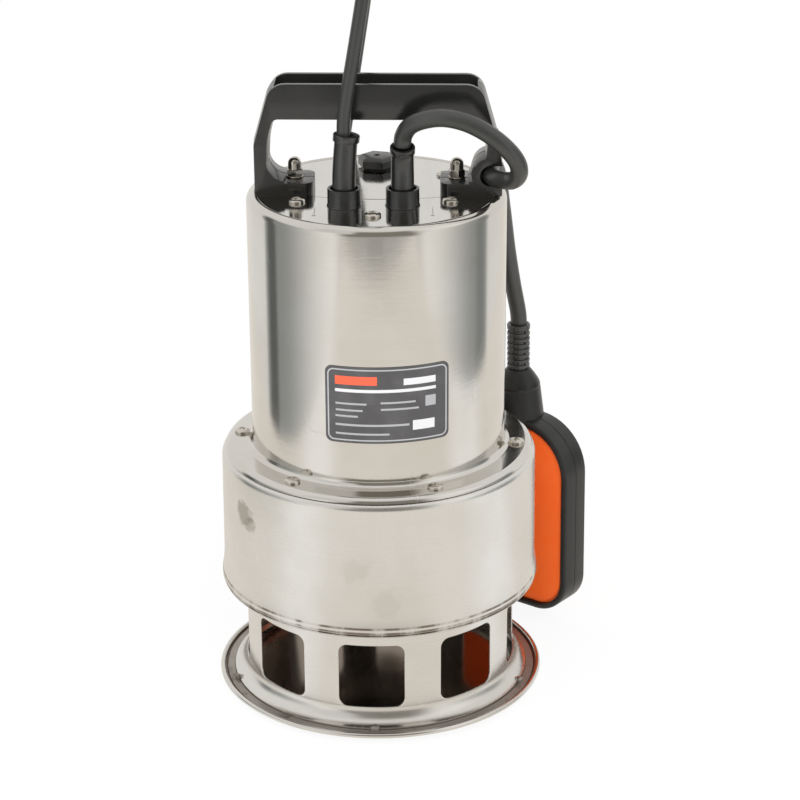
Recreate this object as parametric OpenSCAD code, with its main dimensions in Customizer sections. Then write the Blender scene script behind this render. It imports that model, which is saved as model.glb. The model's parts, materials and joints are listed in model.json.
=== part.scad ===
// Submersible sump pump with a float switch, stainless steel housing and a round strainer base.
// Millimetres, +Z up. The origin is on the pump's axis, on the floor. The front, with the rating
// plate, faces -Y and the handle runs along X.

/* [Base and strainer] */
// Outer radius of the base plate's rolled rim
rim_r = 82; // [81:0.5:83]
// Outer radius of the strainer wall
strainer_r = 68.4; // [68:0.1:69]
// Height of the top of the strainer's flange, where the casing starts
seam_z = 58.3; // [58:0.1:59]
// Number of windows around the strainer
window_count = 8; // [6:1:8]
// Half of the angle that one window spans, in degrees
window_half_angle = 13.6; // [10:0.1:15]
// Angle from one window to the next; the strip's seam lies in the wider gap that is left
window_pitch = 43; // [42:0.5:45]
// Turn of the front window, in degrees
window_turn = -2.5; // [-20:0.5:20]
// Lower edge of the windows
window_low = 13.1; // [13.1:0.5:16.1]
// Upper edge of the windows
window_high = 46.5; // [42:0.5:48]

/* [Casing and housing] */
// Radius of the pump casing at its shoulder
casing_r = 77.8; // [77.5:0.1:78]
// Height of the casing's top face
casing_top = 125.2; // [125:0.1:125.5]
// Outer radius of the motor housing
housing_r = 62.5; // [62.4:0.1:62.7]
// Height of the top of the housing's flange
flange_top = 128; // [128:0.1:128.4]
// Height of the top cover's face
cover_top = 256; // [255.8:0.1:256.2]
// Radius of the circle that the flange screws stand on
flange_screw_circle = 68.6; // [68.5:0.1:68.8]
// Turn of the first flange screw from the front, in degrees
flange_screw_turn = 24.3; // [0:0.1:30]
// Radius of the circle that the cover screws stand on
cover_screw_circle = 43; // [42.5:0.1:43.5]

/* [Handle] */
// Height of the handle's top edge
handle_top = 311; // [308:1:314]
// Depth of the handle from front to back
handle_depth = 23; // [20:1:23]
// Distance of each handle stud from the middle of the handle
stud_x = 38.7; // [38.5:0.1:39]
// Turn of the handle about the axis, in degrees
handle_turn = -1.2; // [-1.5:0.1:0]

/* [Pump end] */
// Radius of the outlet's bore
outlet_bore_r = 17.5; // [15:0.5:17.5]
// Outer radius of the outlet's pipe thread
outlet_thread_r = 20.95; // [20.9:0.05:21]
// Height of the outlet's axis
outlet_z = 83; // [83:0.5:84]
// Radius of the impeller
impeller_r = 44; // [38:1:46]
// Number of impeller vanes
vane_count = 6; // [4:1:8]

/* [Motor] */
// Radius of the shaft at the bearings
shaft_r = 6; // [6:0.5:6]
// Radius of the rotor
rotor_r = 27; // [24:1:27]
// Number of slots in the stator
slot_count = 24; // [12:12:24]

/* [Float switch] */
// Width of the float
float_w = 74; // [70:1:76]
// Thickness of the float
float_t = 19; // [18:0.5:20]
// Lower end of the float's body
float_low = 10.2; // [8:0.2:12]
// Upper end of the float's body
float_high = 114; // [112:1:116]
// Turn of the float's broad side from the front, in degrees
float_turn = 37; // [35:0.5:38]
// Diameter of the float's cable
float_cable_d = 8.4; // [7.5:0.1:8.4]

/* [Power cable] */
// Diameter of the power cable
power_cable_d = 6.5; // [6:0.1:6.5]

/* [Hidden] */
$fn = 96;
STEEL = "#c9c6bd";
BRIGHT = "#d9d7d0";
BLACK = "#26282a";
RUBBER = "#33363a";
ORANGE = "#ff6428";
CAST = "#9a9b98";
COPPER = "#b5683a";
IRON = "#6f7377";

// Heights that stack up from the floor
floor_plate = [3.2, 4.2];
flange_low = 56.3;
suction_top = 61.3;
volute_top = 104;
seal_plate_top = 107;
bracket_low = 116;
bracket_top = 124.2;
rotor_z = [152, 202];
cover_t = 1.1;
gasket_t = 1.2;
ledge_r = 36;
sheet = 0.8;
ledge_top = cover_top - cover_t - gasket_t;
ledge_low = ledge_top - sheet;
foot_top = 262.5;
foot_end = 30.2;

// Radii that follow from the driving ones
lip_r = 57.65;
cover_r = lip_r - 0.05;
housing_inner = housing_r - sheet;
casing_low_r = casing_r + 0.4;
bead_r = 79.4;

// Places of the two cable glands, the plug in the cover and the float
gland_x = 13.7;
gland_y = -24.2;
vent_place = [0.5, 38.5];
float_place = [72, 67.5];
handle_shift = 0.45;
float_swivel = [54.5, 15, 266.5];
power_sleeve_top = 289.5;
float_sleeve_top = 285;

// Routes of the cables
float_loop_route = [
  [13.7, -24.2, 285], [14.2, -25, 290], [17, -28, 295.5], [23, -31.5, 299.5], [31.5, -34.5, 301.5],
  [41.5, -36.5, 300], [51, -38, 295.5], [59.5, -38, 288.5], [65.5, -36, 280.5], [67, -32.5, 273],
  [64.2, -27, 268], [59, -20.5, 266.5], [55.5, -14, 266.5], [54.5, -7, 266.5], [54.5, 4, 266.5],
  [54.5, 15, 266.5]
];
float_drop_route = [
  [55.4, 19, 265], [57, 24.5, 261.8], [59.5, 32, 254], [61.4, 40, 242], [63.7, 48, 226],
  [66.2, 56, 206.5], [69, 62.5, 187], [71.5, 66.5, 171], [72, 67.5, 163.5]
];
power_route = [
  [-13.7, -24.2, 289.5], [-13.4, -24.6, 298], [-12, -25.2, 309], [-9.4, -26, 325], [-6.7, -26.5, 342],
  [-4, -26, 360], [-1.5, -23, 380], [0.5, -15, 399], [2, -2, 414], [2.8, 16, 423], [3, 36, 425.5],
  [2.4, 56, 422], [1, 74, 413], [-0.8, 88, 398], [-2.5, 97, 378], [-4.5, 101, 354], [-6.8, 102, 330],
  [-11.3, 102.5, 300], [-16.4, 103, 268], [-22, 103.5, 234], [-30, 104, 198], [-38, 104.5, 160],
  [-44.5, 105, 120], [-49.5, 105.5, 80], [-53, 107, 46], [-55.2, 111, 20], [-56, 121, 7],
  [-56, 136, 3.3], [-56, 158, 3.25], [-56, 179.5, 4.05]
];
tail_route = [
  [-56, 192.5, 25.05], [-55.2, 199, 27.5], [-51, 205.5, 33], [-44, 208.5, 39.5], [-34.5, 208.5, 44.8],
  [-25, 208, 47.3], [-16.5, 208, 47.55], [-8, 208, 47.6]
];
coil_centre = [-2, 186];
coil_out = 54;
coil_in = 24.5;
coil_layers = 4;
layer_turns = 4.25;
layer_rise = 7;
tie_t = 0.8;
rings_per_turn = 24;

//// Shared shapes

// A ring of rectangular section
module ring(r_in, r_out, z0, z1) {
  rotate_extrude() translate([r_in, z0]) square([r_out - r_in, z1 - z0]);
}

// A quarter of a bent sheet's section, about a centre, in the quadrant that the signs pick
module bend_section(centre, r_in, r_out, sx, sy) {
  translate(centre) intersection() {
    difference() {
      circle(r_out, $fn = 32);
      circle(r_in, $fn = 32);
    }
    translate([sx > 0 ? 0 : -r_out, sy > 0 ? 0 : -r_out]) square(r_out);
  }
}

// A rectangle with round corners, centred, made of squares and circles
module round_rect(w, h, r) {
  square([w - 2 * r, h], center = true);
  square([w, h - 2 * r], center = true);
  for (x = [-1, 1], y = [-1, 1]) translate([x * (w / 2 - r), y * (h / 2 - r)])
    circle(r, $fn = 32);
}

// Copies its children around the axis, angles measured from the front towards +X
module around(angles, r) {
  for (a = angles) rotate([0, 0, a]) translate([0, -r, 0]) children();
}

// A pan head screw with a cross recess, standing on z = 0, its shank reaching down
module pan_screw(head_r, head_h, shank_r, shank_len) {
  difference() {
    intersection() {
      cylinder(r = head_r, h = head_h);
      translate([0, 0, head_h - head_r * 1.75]) sphere(head_r * 1.75);
    }
    for (a = [45, 135]) rotate([0, 0, a]) translate([0, 0, head_h])
      cube([head_r, 0.9, 1.9], center = true);
  }
  translate([0, 0, -shank_len]) cylinder(r = shank_r, h = shank_len);
}

// Puts the handle and what holds it in its place, a little aside and turned
module place_handle() {
  translate([handle_shift, 0, 0]) rotate([0, 0, handle_turn]) children();
}

// Holes under the cover for its screws, the handle's studs and the vent plug
module cover_holes(z, h, r) {
  translate([0, 0, z]) {
    around(cover_angles, cover_screw_circle) cylinder(r = r, h = h);
    place_handle() for (s = [-1, 1]) translate([s * stud_x, 0, 0]) cylinder(r = r, h = h);
    translate([vent_place[0], vent_place[1], 0]) cylinder(r = 5.1, h = h);
  }
}

// Angles of screws and windows
flange_angles = [for (i = [0:5]) flange_screw_turn + 60 * i];
cover_angles = [0, 60, -60, 120, -120];
window_angles = [for (i = [0:window_count - 1]) window_turn + window_pitch * (i - 2)];
seam_angle = window_turn - 2 * window_pitch - (360 - (window_count - 1) * window_pitch) / 2;
strainer_screw_angles = [for (i = [0:3]) 19 + 90 * i];
strainer_screw_circle = 61.5;

//// Sweeping a tube along a route

function unit(v) = v / norm(v);
// Direction of a path at each of its points
function headings(p) = [for (i = [0:len(p) - 1]) unit(p[min(i + 1, len(p) - 1)] - p[max(i - 1, 0)])];
// A side vector at each point that turns as little as it can
function side_start(t) = unit(cross(t, abs(t[2]) < 0.9 ? [0, 0, 1] : [1, 0, 0]));
function sides_along(t) = [
  for (i = 0, s = side_start(t[0]); i < len(t);
    i = i + 1, s = i < len(t) ? unit(s - (s * t[i]) * t[i]) : s) s
];
function path_length(p) = len(p) < 2 ? 0 : sum([for (i = [1:len(p) - 1]) norm(p[i] - p[i - 1])]);
function sum(v, i = 0) = i >= len(v) ? 0 : v[i] + sum(v, i + 1);

// A closed tube through the points, its faces all triangles
module tube(p, r, n) {
  t = headings(p);
  s = sides_along(t);
  points = [
    for (i = [0:len(p) - 1], k = [0:n - 1])
      p[i] + r * (cos(360 * k / n) * s[i] + sin(360 * k / n) * cross(t[i], s[i]))
  ];
  last = (len(p) - 1) * n;
  walls = [
    for (i = [0:len(p) - 2], k = [0:n - 1]) let (a = i * n + k, b = i * n + (k + 1) % n)
      each [[a, b + n, b], [a, a + n, b + n]]
  ];
  caps = [for (k = [1:n - 2]) each [[0, k, k + 1], [last, last + k + 1, last + k]]];
  polyhedron(points, concat(walls, caps));
}

//// The power cable's coil: one tube that spirals in and out again, layer upon layer

coil_turns = coil_layers * layer_turns;
function smooth(x) = let (c = min(max(x, 0), 1)) c * c * (3 - 2 * c);
// Radius after a number of turns, which swings between the outer and the inner one
function coil_radius(turn) = let (phase = turn / layer_turns, k = floor(phase), f = phase - k)
  k % 2 == 0 ? coil_out - (coil_out - coil_in) * f : coil_in + (coil_out - coil_in) * f;
// Height after a number of turns, which climbs in the half turn around each reversal
function coil_height(turn) = tie_t + power_cable_d / 2
  + layer_rise * sum([for (k = [1:coil_layers - 1]) smooth((turn - k * layer_turns + 0.25) / 0.5)]);
// The coil starts at its left side, where the cable comes in, and runs clockwise from above
function coil_point(turn) = let (a = 180 - 360 * turn)
  [coil_centre[0] + coil_radius(turn) * cos(a), coil_centre[1] + coil_radius(turn) * sin(a),
    coil_height(turn)];
coil_route = [
  coil_point(0) - [0, power_cable_d, 0],
  for (i = [0:coil_turns * rings_per_turn]) coil_point(i / rings_per_turn),
  coil_point(coil_turns) + [0, power_cable_d, 0]
];

// The plug lies on the coil
plug_place = [-8, 208, 47.6];

function least_gap(p, skip) = min([
  for (i = [0:2:len(p) - 1], j = [i + skip:1:len(p) - 1]) norm(p[i] - p[j])
]);

//// Base and strainer

module base_plate() {
  low = floor_plate[0];
  high = floor_plate[1];
  roll_r = 1.3;
  // Tack welds that hold the strainer's lip
  color(STEEL) around([-1, 57, 117, 177, 237, 297], 75.8) intersection() {
    translate([0, 0, high - 0.2]) sphere(1.4, $fn = 24);
    translate([-2, -2, high]) cube(4);
  }
  // The plate with the ring that it stands on, pressed down under the strainer's lip, and its rim
  color(STEEL) rotate_extrude() {
    polygon([
      [0, low], [66.2, low], [67.6, 0], [71.8, 0], [73.2, low], [rim_r - 1.5, low],
      [rim_r - 1.5, high - 0.3], [rim_r - 3.3, high - 0.3], [rim_r - 3.8, high], [73, high],
      [71.4, 1], [68, 1], [66.4, high], [0, high]
    ]);
    translate([rim_r - roll_r, high + 0.1]) circle(roll_r, $fn = 32);
  }
}

// One window's outline, its corners cut in short straight steps
module window_outline(w, h, r) {
  polygon([
    for (c = [[1, 1, 0], [-1, 1, 90], [-1, -1, 180], [1, -1, 270]], a = [0:18:90])
      [c[0] * (w / 2 - r) + r * cos(c[2] + a), c[1] * (h / 2 - r) + r * sin(c[2] + a)]
  ]);
}

module strainer() {
  flare_r = 8;
  flare = [strainer_r + flare_r, 13];
  color(STEEL) difference() {
    rotate([0, 0, seam_angle - 90]) rotate_extrude() {
      translate([strainer_r - sheet, flare[1]]) square([sheet, seam_z - flare[1]]);
      difference() {
        bend_section(flare, flare_r, flare_r + sheet, -1, -1);
        translate([flare[0] - 2, 0]) square([4, 12]);
      }
      translate([56, flange_low]) square([78.9 - 56, seam_z - flange_low]);
    }
    around(window_angles, strainer_r + 8) translate([0, 0, (window_low + window_high) / 2])
      rotate([-90, 0, 0]) linear_extrude(16)
        window_outline(2 * strainer_r * sin(window_half_angle), window_high - window_low, 4.5);
    around(strainer_screw_angles, strainer_screw_circle) translate([0, 0, flange_low - 1])
      cylinder(r = 2.2, h = 4);
  }
}

module strainer_screws() {
  color(BRIGHT) around(strainer_screw_angles, strainer_screw_circle) translate([0, 0, flange_low])
    rotate([180, 0, 0]) pan_screw(3.6, 2.5, 2, 18);
}

//// Pump end

module pump_casing() {
  t = 1;
  shoulder = 3.5;
  corner = [casing_r - shoulder, casing_top - shoulder];
  color(STEEL) difference() {
    rotate_extrude() {
      polygon([
        [casing_low_r - t, 66], [bead_r - t, 60.5], [bead_r - t, seam_z], [bead_r, seam_z], [bead_r, 60.5],
        [casing_low_r, 66], [casing_r, corner[1]], [casing_r - t, corner[1]]
      ]);
      bend_section(corner, shoulder - t, shoulder, 1, 1);
      translate([45, casing_top - t]) square([corner[0] - 45, t]);
    }
    translate([0, 0, outlet_z]) rotate([-90, 0, 0]) cylinder(r = outlet_thread_r + 0.1, h = 100);
    around(flange_angles, flange_screw_circle) translate([0, 0, casing_top - 3]) cylinder(r = 2.2, h = 5);
  }
}

module suction_plate() {
  color(BLACK) difference() {
    ring(20, 77.5, seam_z, suction_top);
    around(strainer_screw_angles, strainer_screw_circle) translate([0, 0, seam_z - 1])
      cylinder(r = 2.2, h = 6);
  }
}

module volute() {
  color(BLACK) difference() {
    union() {
      translate([0, 0, suction_top]) cylinder(r = 65.5, h = volute_top - suction_top);
      translate([0, 0, outlet_z]) rotate([-90, 0, 0]) cylinder(r = 20, h = 74);
    }
    translate([0, 0, suction_top - 1]) cylinder(r = 49, h = volute_top - suction_top - 1);
    cylinder(r = 12.5, h = volute_top + 1);
    translate([0, 0, outlet_z]) rotate([-90, 0, 0]) cylinder(r = outlet_bore_r, h = 80);
    around(strainer_screw_angles, strainer_screw_circle) translate([0, 0, suction_top - 1])
      cylinder(r = 2.02, h = 16);
  }
}

module discharge_outlet() {
  color(BRIGHT) difference() {
    union() {
      translate([0, 75.2, outlet_z]) rotate([-90, 0, 0]) cylinder(r = outlet_thread_r - 1.2, h = 30);
      translate([0, 96, outlet_z]) rotate([-90, 0, 0]) cylinder(r = outlet_thread_r, h = 24);
      difference() {
        translate([0, 70, outlet_z]) rotate([-90, 0, 0]) cylinder(r = 24.4, h = 15);
        translate([0, 0, outlet_z - 30]) cylinder(r = casing_low_r + 0.05, h = 60);
        translate([0, 0, seam_z]) cylinder(r1 = bead_r + 0.55, r2 = casing_low_r + 0.05, h = 66 - seam_z);
      }
    }
    translate([0, 60, outlet_z]) rotate([-90, 0, 0]) cylinder(r = outlet_bore_r, h = 80);
  }
}

module outlet_seal() {
  color(RUBBER) translate([0, 74, outlet_z]) rotate([-90, 0, 0]) ring(outlet_bore_r + 0.3, 20, 0, 1.2);
}

module seal_plate() {
  color(CAST) difference() {
    ring(10, 65.5, volute_top, seal_plate_top);
    translate([0, 0, volute_top + 1]) cylinder(r = 12.05, h = 5);
  }
}

module seal_seat() {
  color("#e9e6df") ring(shaft_r + 0.6, 12, volute_top + 1, seal_plate_top + 0.8);
}

module lower_bracket() {
  color(CAST) difference() {
    rotate_extrude() {
      translate([shaft_r + 1, bracket_low]) square([73 - shaft_r - 1, bracket_top - bracket_low]);
      translate([30, seal_plate_top]) square([4, bracket_low - seal_plate_top]);
      translate([shaft_r + 1, bracket_top]) square([44.9 - shaft_r - 1, 12]);
    }
    translate([0, 0, 126.2]) cylinder(r = 16.02, h = 20);
    translate([0, 0, bracket_low - 1]) cylinder(r = 12.02, h = 8);
    around(flange_angles, flange_screw_circle) translate([0, 0, bracket_low - 1])
      cylinder(r = 2.02, h = 12);
  }
}

module shaft_lip_seal() {
  color(RUBBER) ring(shaft_r + 0.05, 12, bracket_low, bracket_low + 6);
}

//// Housing, motor and cover

module housing_gasket() {
  color(RUBBER) difference() {
    ring(46, 72.5, casing_top, flange_top - sheet);
    around(flange_angles, flange_screw_circle) translate([0, 0, casing_top - 1]) cylinder(r = 2.2, h = 5);
  }
}

module motor_housing() {
  top_r = 4.6;
  fillet = 3;
  edge = 3.7;
  edge_c = [72.8, flange_top - edge];
  color(STEEL) difference() {
    rotate_extrude() {
      translate([housing_inner, flange_top + fillet])
        square([sheet, cover_top + 0.7 - top_r - flange_top - fillet]);
      bend_section([housing_r - top_r, cover_top + 0.7 - top_r], top_r - sheet, top_r, 1, 1);
      translate([lip_r, ledge_low]) square([sheet, cover_top + 0.6 - ledge_low]);
      translate([ledge_r, ledge_low]) square([lip_r - ledge_r, sheet]);
      bend_section([housing_r + fillet, flange_top + fillet], fillet, fillet + sheet, -1, -1);
      translate([housing_r + fillet, flange_top - sheet])
        square([edge_c[0] - housing_r - fillet, sheet]);
      difference() {
        bend_section(edge_c, edge - sheet, edge, 1, 1);
        translate([70, casing_top - 10]) square([10, 10.05]);
      }
    }
    around(flange_angles, flange_screw_circle) translate([0, 0, flange_top - 2]) cylinder(r = 2.2, h = 4);
    cover_holes(ledge_low - 1, 3, 2.2);
  }
}

module flange_screws() {
  color(BRIGHT) around(flange_angles, flange_screw_circle) translate([0, 0, flange_top])
    pan_screw(3.9, 2.7, 2, 9);
}

module stator_core() {
  color(IRON) translate([0, 0, rotor_z[0]]) linear_extrude(rotor_z[1] - rotor_z[0]) difference() {
    circle(housing_inner - 0.1);
    circle(rotor_r + 0.5);
    for (i = [0:slot_count - 1]) rotate(360 / slot_count * i) {
      translate([38, 0]) square([16, 4.2], center = true);
      translate([rotor_r + 2, 0]) square([8, 1.6], center = true);
    }
  }
}

module stator_windings() {
  color(COPPER) {
    ring(31, 50, rotor_z[1], rotor_z[1] + 13);
    ring(31, 50, rotor_z[0] - 13, rotor_z[0]);
  }
}

module upper_bracket() {
  color(CAST) difference() {
    rotate_extrude() {
      translate([0, 217]) square([housing_inner - 0.1, 6]);
      translate([0, 217]) square([21, 14]);
    }
    translate([0, 0, 210]) cylinder(r = 16.02, h = 18.2);
    for (a = [30:60:330]) rotate([0, 0, a]) translate([44, 0, 216]) cylinder(r = 7, h = 8);
  }
}

// A ball bearing's outer ring, and its inner ring with the cage and balls
module bearing_outer(z) {
  color(BRIGHT) difference() {
    ring(12.9, 16, z, z + 10);
    translate([0, 0, z + 5]) rotate_extrude() translate([11, 0]) circle(3.05);
  }
}

module bearing_inner(z) {
  color(BRIGHT) {
    ring(shaft_r + 0.01, 9.3, z, z + 10);
    ring(9.3, 11.5, z + 4, z + 6);
    for (i = [0:7]) rotate([0, 0, 45 * i]) translate([11, 0, z + 5]) sphere(2.98, $fn = 32);
  }
}

lower_bearing_z = 126.2;
upper_bearing_z = 218;

module upper_bearing_outer() bearing_outer(upper_bearing_z);
module lower_bearing_outer() bearing_outer(lower_bearing_z);
module upper_bearing_inner() bearing_inner(upper_bearing_z);
module lower_bearing_inner() bearing_inner(lower_bearing_z);

module capacitor() {
  color("#e4e2da") translate([-22, 38, 235.1]) rotate([0, 90, 0]) {
    cylinder(r = 12, h = 40);
    translate([0, 0, 40]) cylinder(r = 10.5, h = 3);
    for (y = [-4, 4]) translate([0, y, 43]) cylinder(r = 1, h = 4);
  }
}

module terminal_block() {
  color("#efece4") difference() {
    translate([-18, -44, 223]) cube([36, 14, 14]);
    for (x = [-12:8:12]) translate([x, -37, 228]) cylinder(r = 2.4, h = 12);
  }
}

module clamp_ring() {
  color(IRON) difference() {
    ring(ledge_r, 57, ledge_low - 4, ledge_low);
    cover_holes(ledge_low - 5, 6, 2.02);
  }
}

module cover_gasket() {
  color(RUBBER) difference() {
    ring(ledge_r, cover_r, ledge_top, ledge_top + gasket_t);
    cover_holes(ledge_top - 1, 4, 2.2);
  }
}

module top_cover() {
  color(BRIGHT) difference() {
    translate([0, 0, cover_top - cover_t]) cylinder(r = cover_r, h = cover_t);
    cover_holes(cover_top - 3, 5, 2.2);
    for (s = [-1, 1]) translate([s * gland_x, gland_y, cover_top - 3]) cylinder(r = 5.85, h = 5);
  }
}

module cover_screws() {
  color(BRIGHT) around(cover_angles, cover_screw_circle) translate([0, 0, cover_top])
    pan_screw(4, 2.7, 2, 6.5);
}

//// Handle

// Outline of the handle seen from the front: two legs, a bar, feet, and a cable clip on the right
module handle_outline() {
  clip_centre = [float_swivel[0] - handle_shift, float_swivel[2]];
  difference() {
    union() {
      hull() {
        for (s = [-1, 1]) translate([s * 42.5, handle_top - 9]) circle(9, $fn = 32);
        translate([-57.8, cover_top]) square([115.6, 25]);
      }
      translate(clip_centre) circle(8.8);
      translate([50, cover_top]) square([9.7, 5]);
      translate([50, 271.7]) square([9.7, 3]);
      translate([51.5, 271.7]) square([8.2, 12]);
    }
    hull() for (s = [-1, 1]) {
      translate([s * 46, 291.3]) circle(2.7, $fn = 32);
      translate([s * 43.1, foot_top + 10]) circle(9, $fn = 32);
    }
    translate([-foot_end, cover_top - 1]) square([2 * foot_end, 20]);
    translate([-43.9, foot_top]) square([87.8, 10]);
    translate(clip_centre) circle(5);
    translate(clip_centre - [0, 5]) square([10, 10]);
  }
  intersection() {
    difference() {
      translate(clip_centre) circle(8.8);
      translate(clip_centre) circle(5);
    }
    translate([44, cover_top]) square([clip_centre[0] - 44, 22]);
  }
}

module carry_handle() {
  flange = 2.8;
  foot_corner = 5;
  color(BLACK) difference() {
    place_handle() rotate([90, 0, 0]) linear_extrude(handle_depth, center = true) handle_outline();
    place_handle() hull() {
      translate([-43, flange - handle_depth / 2, handle_top - 12.5])
        cube([86, handle_depth - 2 * flange, 14]);
      translate([-48, flange - handle_depth / 2, handle_top - 9])
        cube([96, handle_depth - 2 * flange, 14]);
    }
    place_handle() for (s = [-1, 1]) translate([s * stud_x, 0, cover_top - 1]) cylinder(r = 2.3, h = 12);
    // Round ends of the feet
    place_handle() for (a = [0, 180], m = [0, 1]) rotate([0, 0, a]) mirror([0, m, 0]) difference() {
      translate([foot_end - 1, handle_depth / 2 - foot_corner, cover_top - 1])
        cube([foot_corner + 1, 9, 9]);
      translate([foot_end + foot_corner, handle_depth / 2 - foot_corner, cover_top - 2])
        cylinder(r = foot_corner, h = 11, $fn = 48);
    }
    ring(cover_r, 75, cover_top - 1, cover_top + 0.8);
  }
}

module handle_studs() {
  color(BRIGHT) place_handle() for (s = [-1, 1]) translate([s * stud_x, 0, ledge_low - 4])
    cylinder(r = 2, h = foot_top + 5 - ledge_low + 4);
}

module handle_washers() {
  color(BRIGHT) place_handle() for (s = [-1, 1]) translate([s * stud_x, 0, 0])
    ring(2.15, 4.5, foot_top, foot_top + 0.8);
}

module handle_cap_nuts() {
  across_flats = 7;
  dome_r = 2.9;
  color(BRIGHT) place_handle() for (s = [-1, 1]) translate([s * stud_x, 0, foot_top + 0.8]) difference() {
    union() {
      rotate([0, 0, 12]) cylinder(r = across_flats / sqrt(3), h = 3.2, $fn = 6);
      cylinder(r = dome_r, h = 4.8);
      translate([0, 0, 4.8]) sphere(dome_r);
    }
    translate([0, 0, -1]) cylinder(r = 2.02, h = 5.4);
  }
}

//// Cable glands, plug and plate on the cover and housing

module gland_collars() {
  color(BLACK) for (s = [-1, 1]) translate([s * gland_x, gland_y, 0]) {
    ring(5.85, 7.6, cover_top, cover_top + 2);
    ring(6.6, 7.6, cover_top + 2, cover_top + 8.6);
  }
}

// A rubber sleeve that is moulded round its cable, with a ring at its top
module cable_sleeve(top, r, ring_r) {
  translate([0, 0, 247]) cylinder(r = r, h = top - 247);
  ring(r - 0.3, ring_r, top - 3.4, top);
}

module power_cable_sleeve() {
  color(RUBBER) translate([-gland_x, gland_y, 0]) cable_sleeve(power_sleeve_top, 5.8, 6.35);
}

module float_cable_sleeve() {
  color(RUBBER) translate([gland_x, gland_y, 0]) cable_sleeve(float_sleeve_top, 5.5, 6.05);
}

module gland_lock_nuts() {
  lock_nut_flats = 14;
  color(BLACK) for (s = [-1, 1]) translate([s * gland_x, gland_y, cover_top - cover_t - 5])
    difference() {
      cylinder(r = lock_nut_flats / sqrt(3), h = 5, $fn = 6);
      translate([0, 0, -1]) cylinder(r = 5.82, h = 7);
    }
}

module vent_plug() {
  across_flats = 17;
  color(BLACK) translate([vent_place[0], vent_place[1], 0]) difference() {
    union() {
      intersection() {
        translate([0, 0, cover_top + 1]) rotate([0, 0, 16])
          cylinder(r = across_flats / sqrt(3), h = 5, $fn = 6);
        translate([0, 0, cover_top + 1]) cylinder(r1 = 14.8, r2 = 8.9, h = 5.2);
      }
      translate([0, 0, cover_top - 6]) cylinder(r = 5, h = 8);
    }
    translate([0, 0, cover_top + 4]) cylinder(r = 1, h = 3);
  }
}

module vent_plug_seal() {
  color(RUBBER) translate([vent_place[0], vent_place[1], 0]) ring(5.05, 7.6, cover_top, cover_top + 1);
}

module rating_plate() {
  plate_turn = 5.6;
  half = 27.6;
  color("#4a4b4d") intersection() {
    ring(housing_r + 0.02, housing_r + 0.45, 140, 200);
    rotate([0, 0, plate_turn]) translate([0, -housing_r + 20, 169.8]) rotate([90, 0, 0])
      linear_extrude(30) round_rect(2 * housing_r * sin(half), 38.4, 3.5);
  }
}

//// Cables of the float switch

module float_cable_loop() {
  color(RUBBER) {
    tube(float_loop_route, float_cable_d / 2, 10);
    translate(float_swivel) sphere(float_cable_d / 2 - 0.2, $fn = 24);
  }
}

module float_cable_drop() {
  color(RUBBER) tube(float_drop_route, float_cable_d / 2, 10);
}

//// Rotor

module motor_shaft() {
  color(BRIGHT) {
    translate([0, 0, 63]) cylinder(r = 5, h = 7);
    translate([0, 0, 70]) cylinder(r = shaft_r, h = 67);
    translate([0, 0, 137]) cylinder(r = 8, h = 80.5);
    translate([0, 0, 217.5]) cylinder(r = shaft_r, h = 10);
  }
}

module rotor_core() {
  color(IRON) {
    ring(8.01, rotor_r, rotor_z[0], rotor_z[1]);
    ring(18, rotor_r - 1, rotor_z[1], rotor_z[1] + 5);
    ring(18, rotor_r - 1, rotor_z[0] - 5, rotor_z[0]);
  }
}

module seal_head() {
  color("#303236") ring(shaft_r + 0.1, 10.5, seal_plate_top + 1.1, seal_plate_top + 4);
}

module seal_bellows() {
  color(RUBBER) rotate_extrude() {
    translate([shaft_r + 0.01, seal_plate_top + 4]) square([3, 4.6]);
    for (z = [0.9:1.5:3.9]) translate([shaft_r + 3.4, seal_plate_top + 4 + z]) circle(0.7);
  }
}

module impeller() {
  hub_r = 10;
  color(BLACK) difference() {
    union() {
      translate([0, 0, 70]) cylinder(r = hub_r, h = 31);
      translate([0, 0, 92]) cylinder(r = impeller_r, h = 3.5);
      translate([0, 0, 75]) linear_extrude(17) for (i = [0:vane_count - 1]) rotate(360 / vane_count * i)
        intersection() {
          translate([0, -26]) difference() {
            circle(29);
            circle(26);
          }
          translate([6, -30]) square([40, 40]);
          circle(impeller_r);
        }
    }
    translate([0, 0, 60]) cylinder(r = shaft_r + 0.01, h = 50);
  }
}

module impeller_nut() {
  color(BRIGHT) difference() {
    union() {
      translate([0, 0, 69]) cylinder(r = 9.5, h = 0.95);
      translate([0, 0, 64]) cylinder(r = 15 / sqrt(3), h = 5, $fn = 6);
    }
    translate([0, 0, 60]) cylinder(r = 5.02, h = 12);
  }
}

//// Float: the broad side's width is along x and its thickness along y before it is placed

module place_float() {
  translate([float_place[0], float_place[1], 0]) rotate([0, 0, -float_turn]) children();
}

// Outline of the float's body, drawn in by a margin
module float_outline(margin) {
  top_r = 28;
  low_r = 19;
  translate([0, (float_low + float_high) / 2]) {
    w = float_w / 2 - margin;
    h = (float_high - float_low) / 2 - margin;
    for (s = [-1, 1]) {
      translate([s * (w - top_r + margin), h - top_r + margin]) circle(top_r - margin);
      translate([s * (w - low_r + margin), low_r - margin - h]) circle(low_r - margin);
    }
    translate([top_r - margin - w, -h + low_r]) square([2 * (w - top_r + margin), 2 * h - low_r]);
    translate([low_r - margin - w, -h]) square([2 * (w - low_r + margin), 2 * low_r]);
    translate([-w, low_r - margin - h]) square([2 * w, 2 * h - low_r - top_r + 2 * margin]);
  }
}

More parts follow.
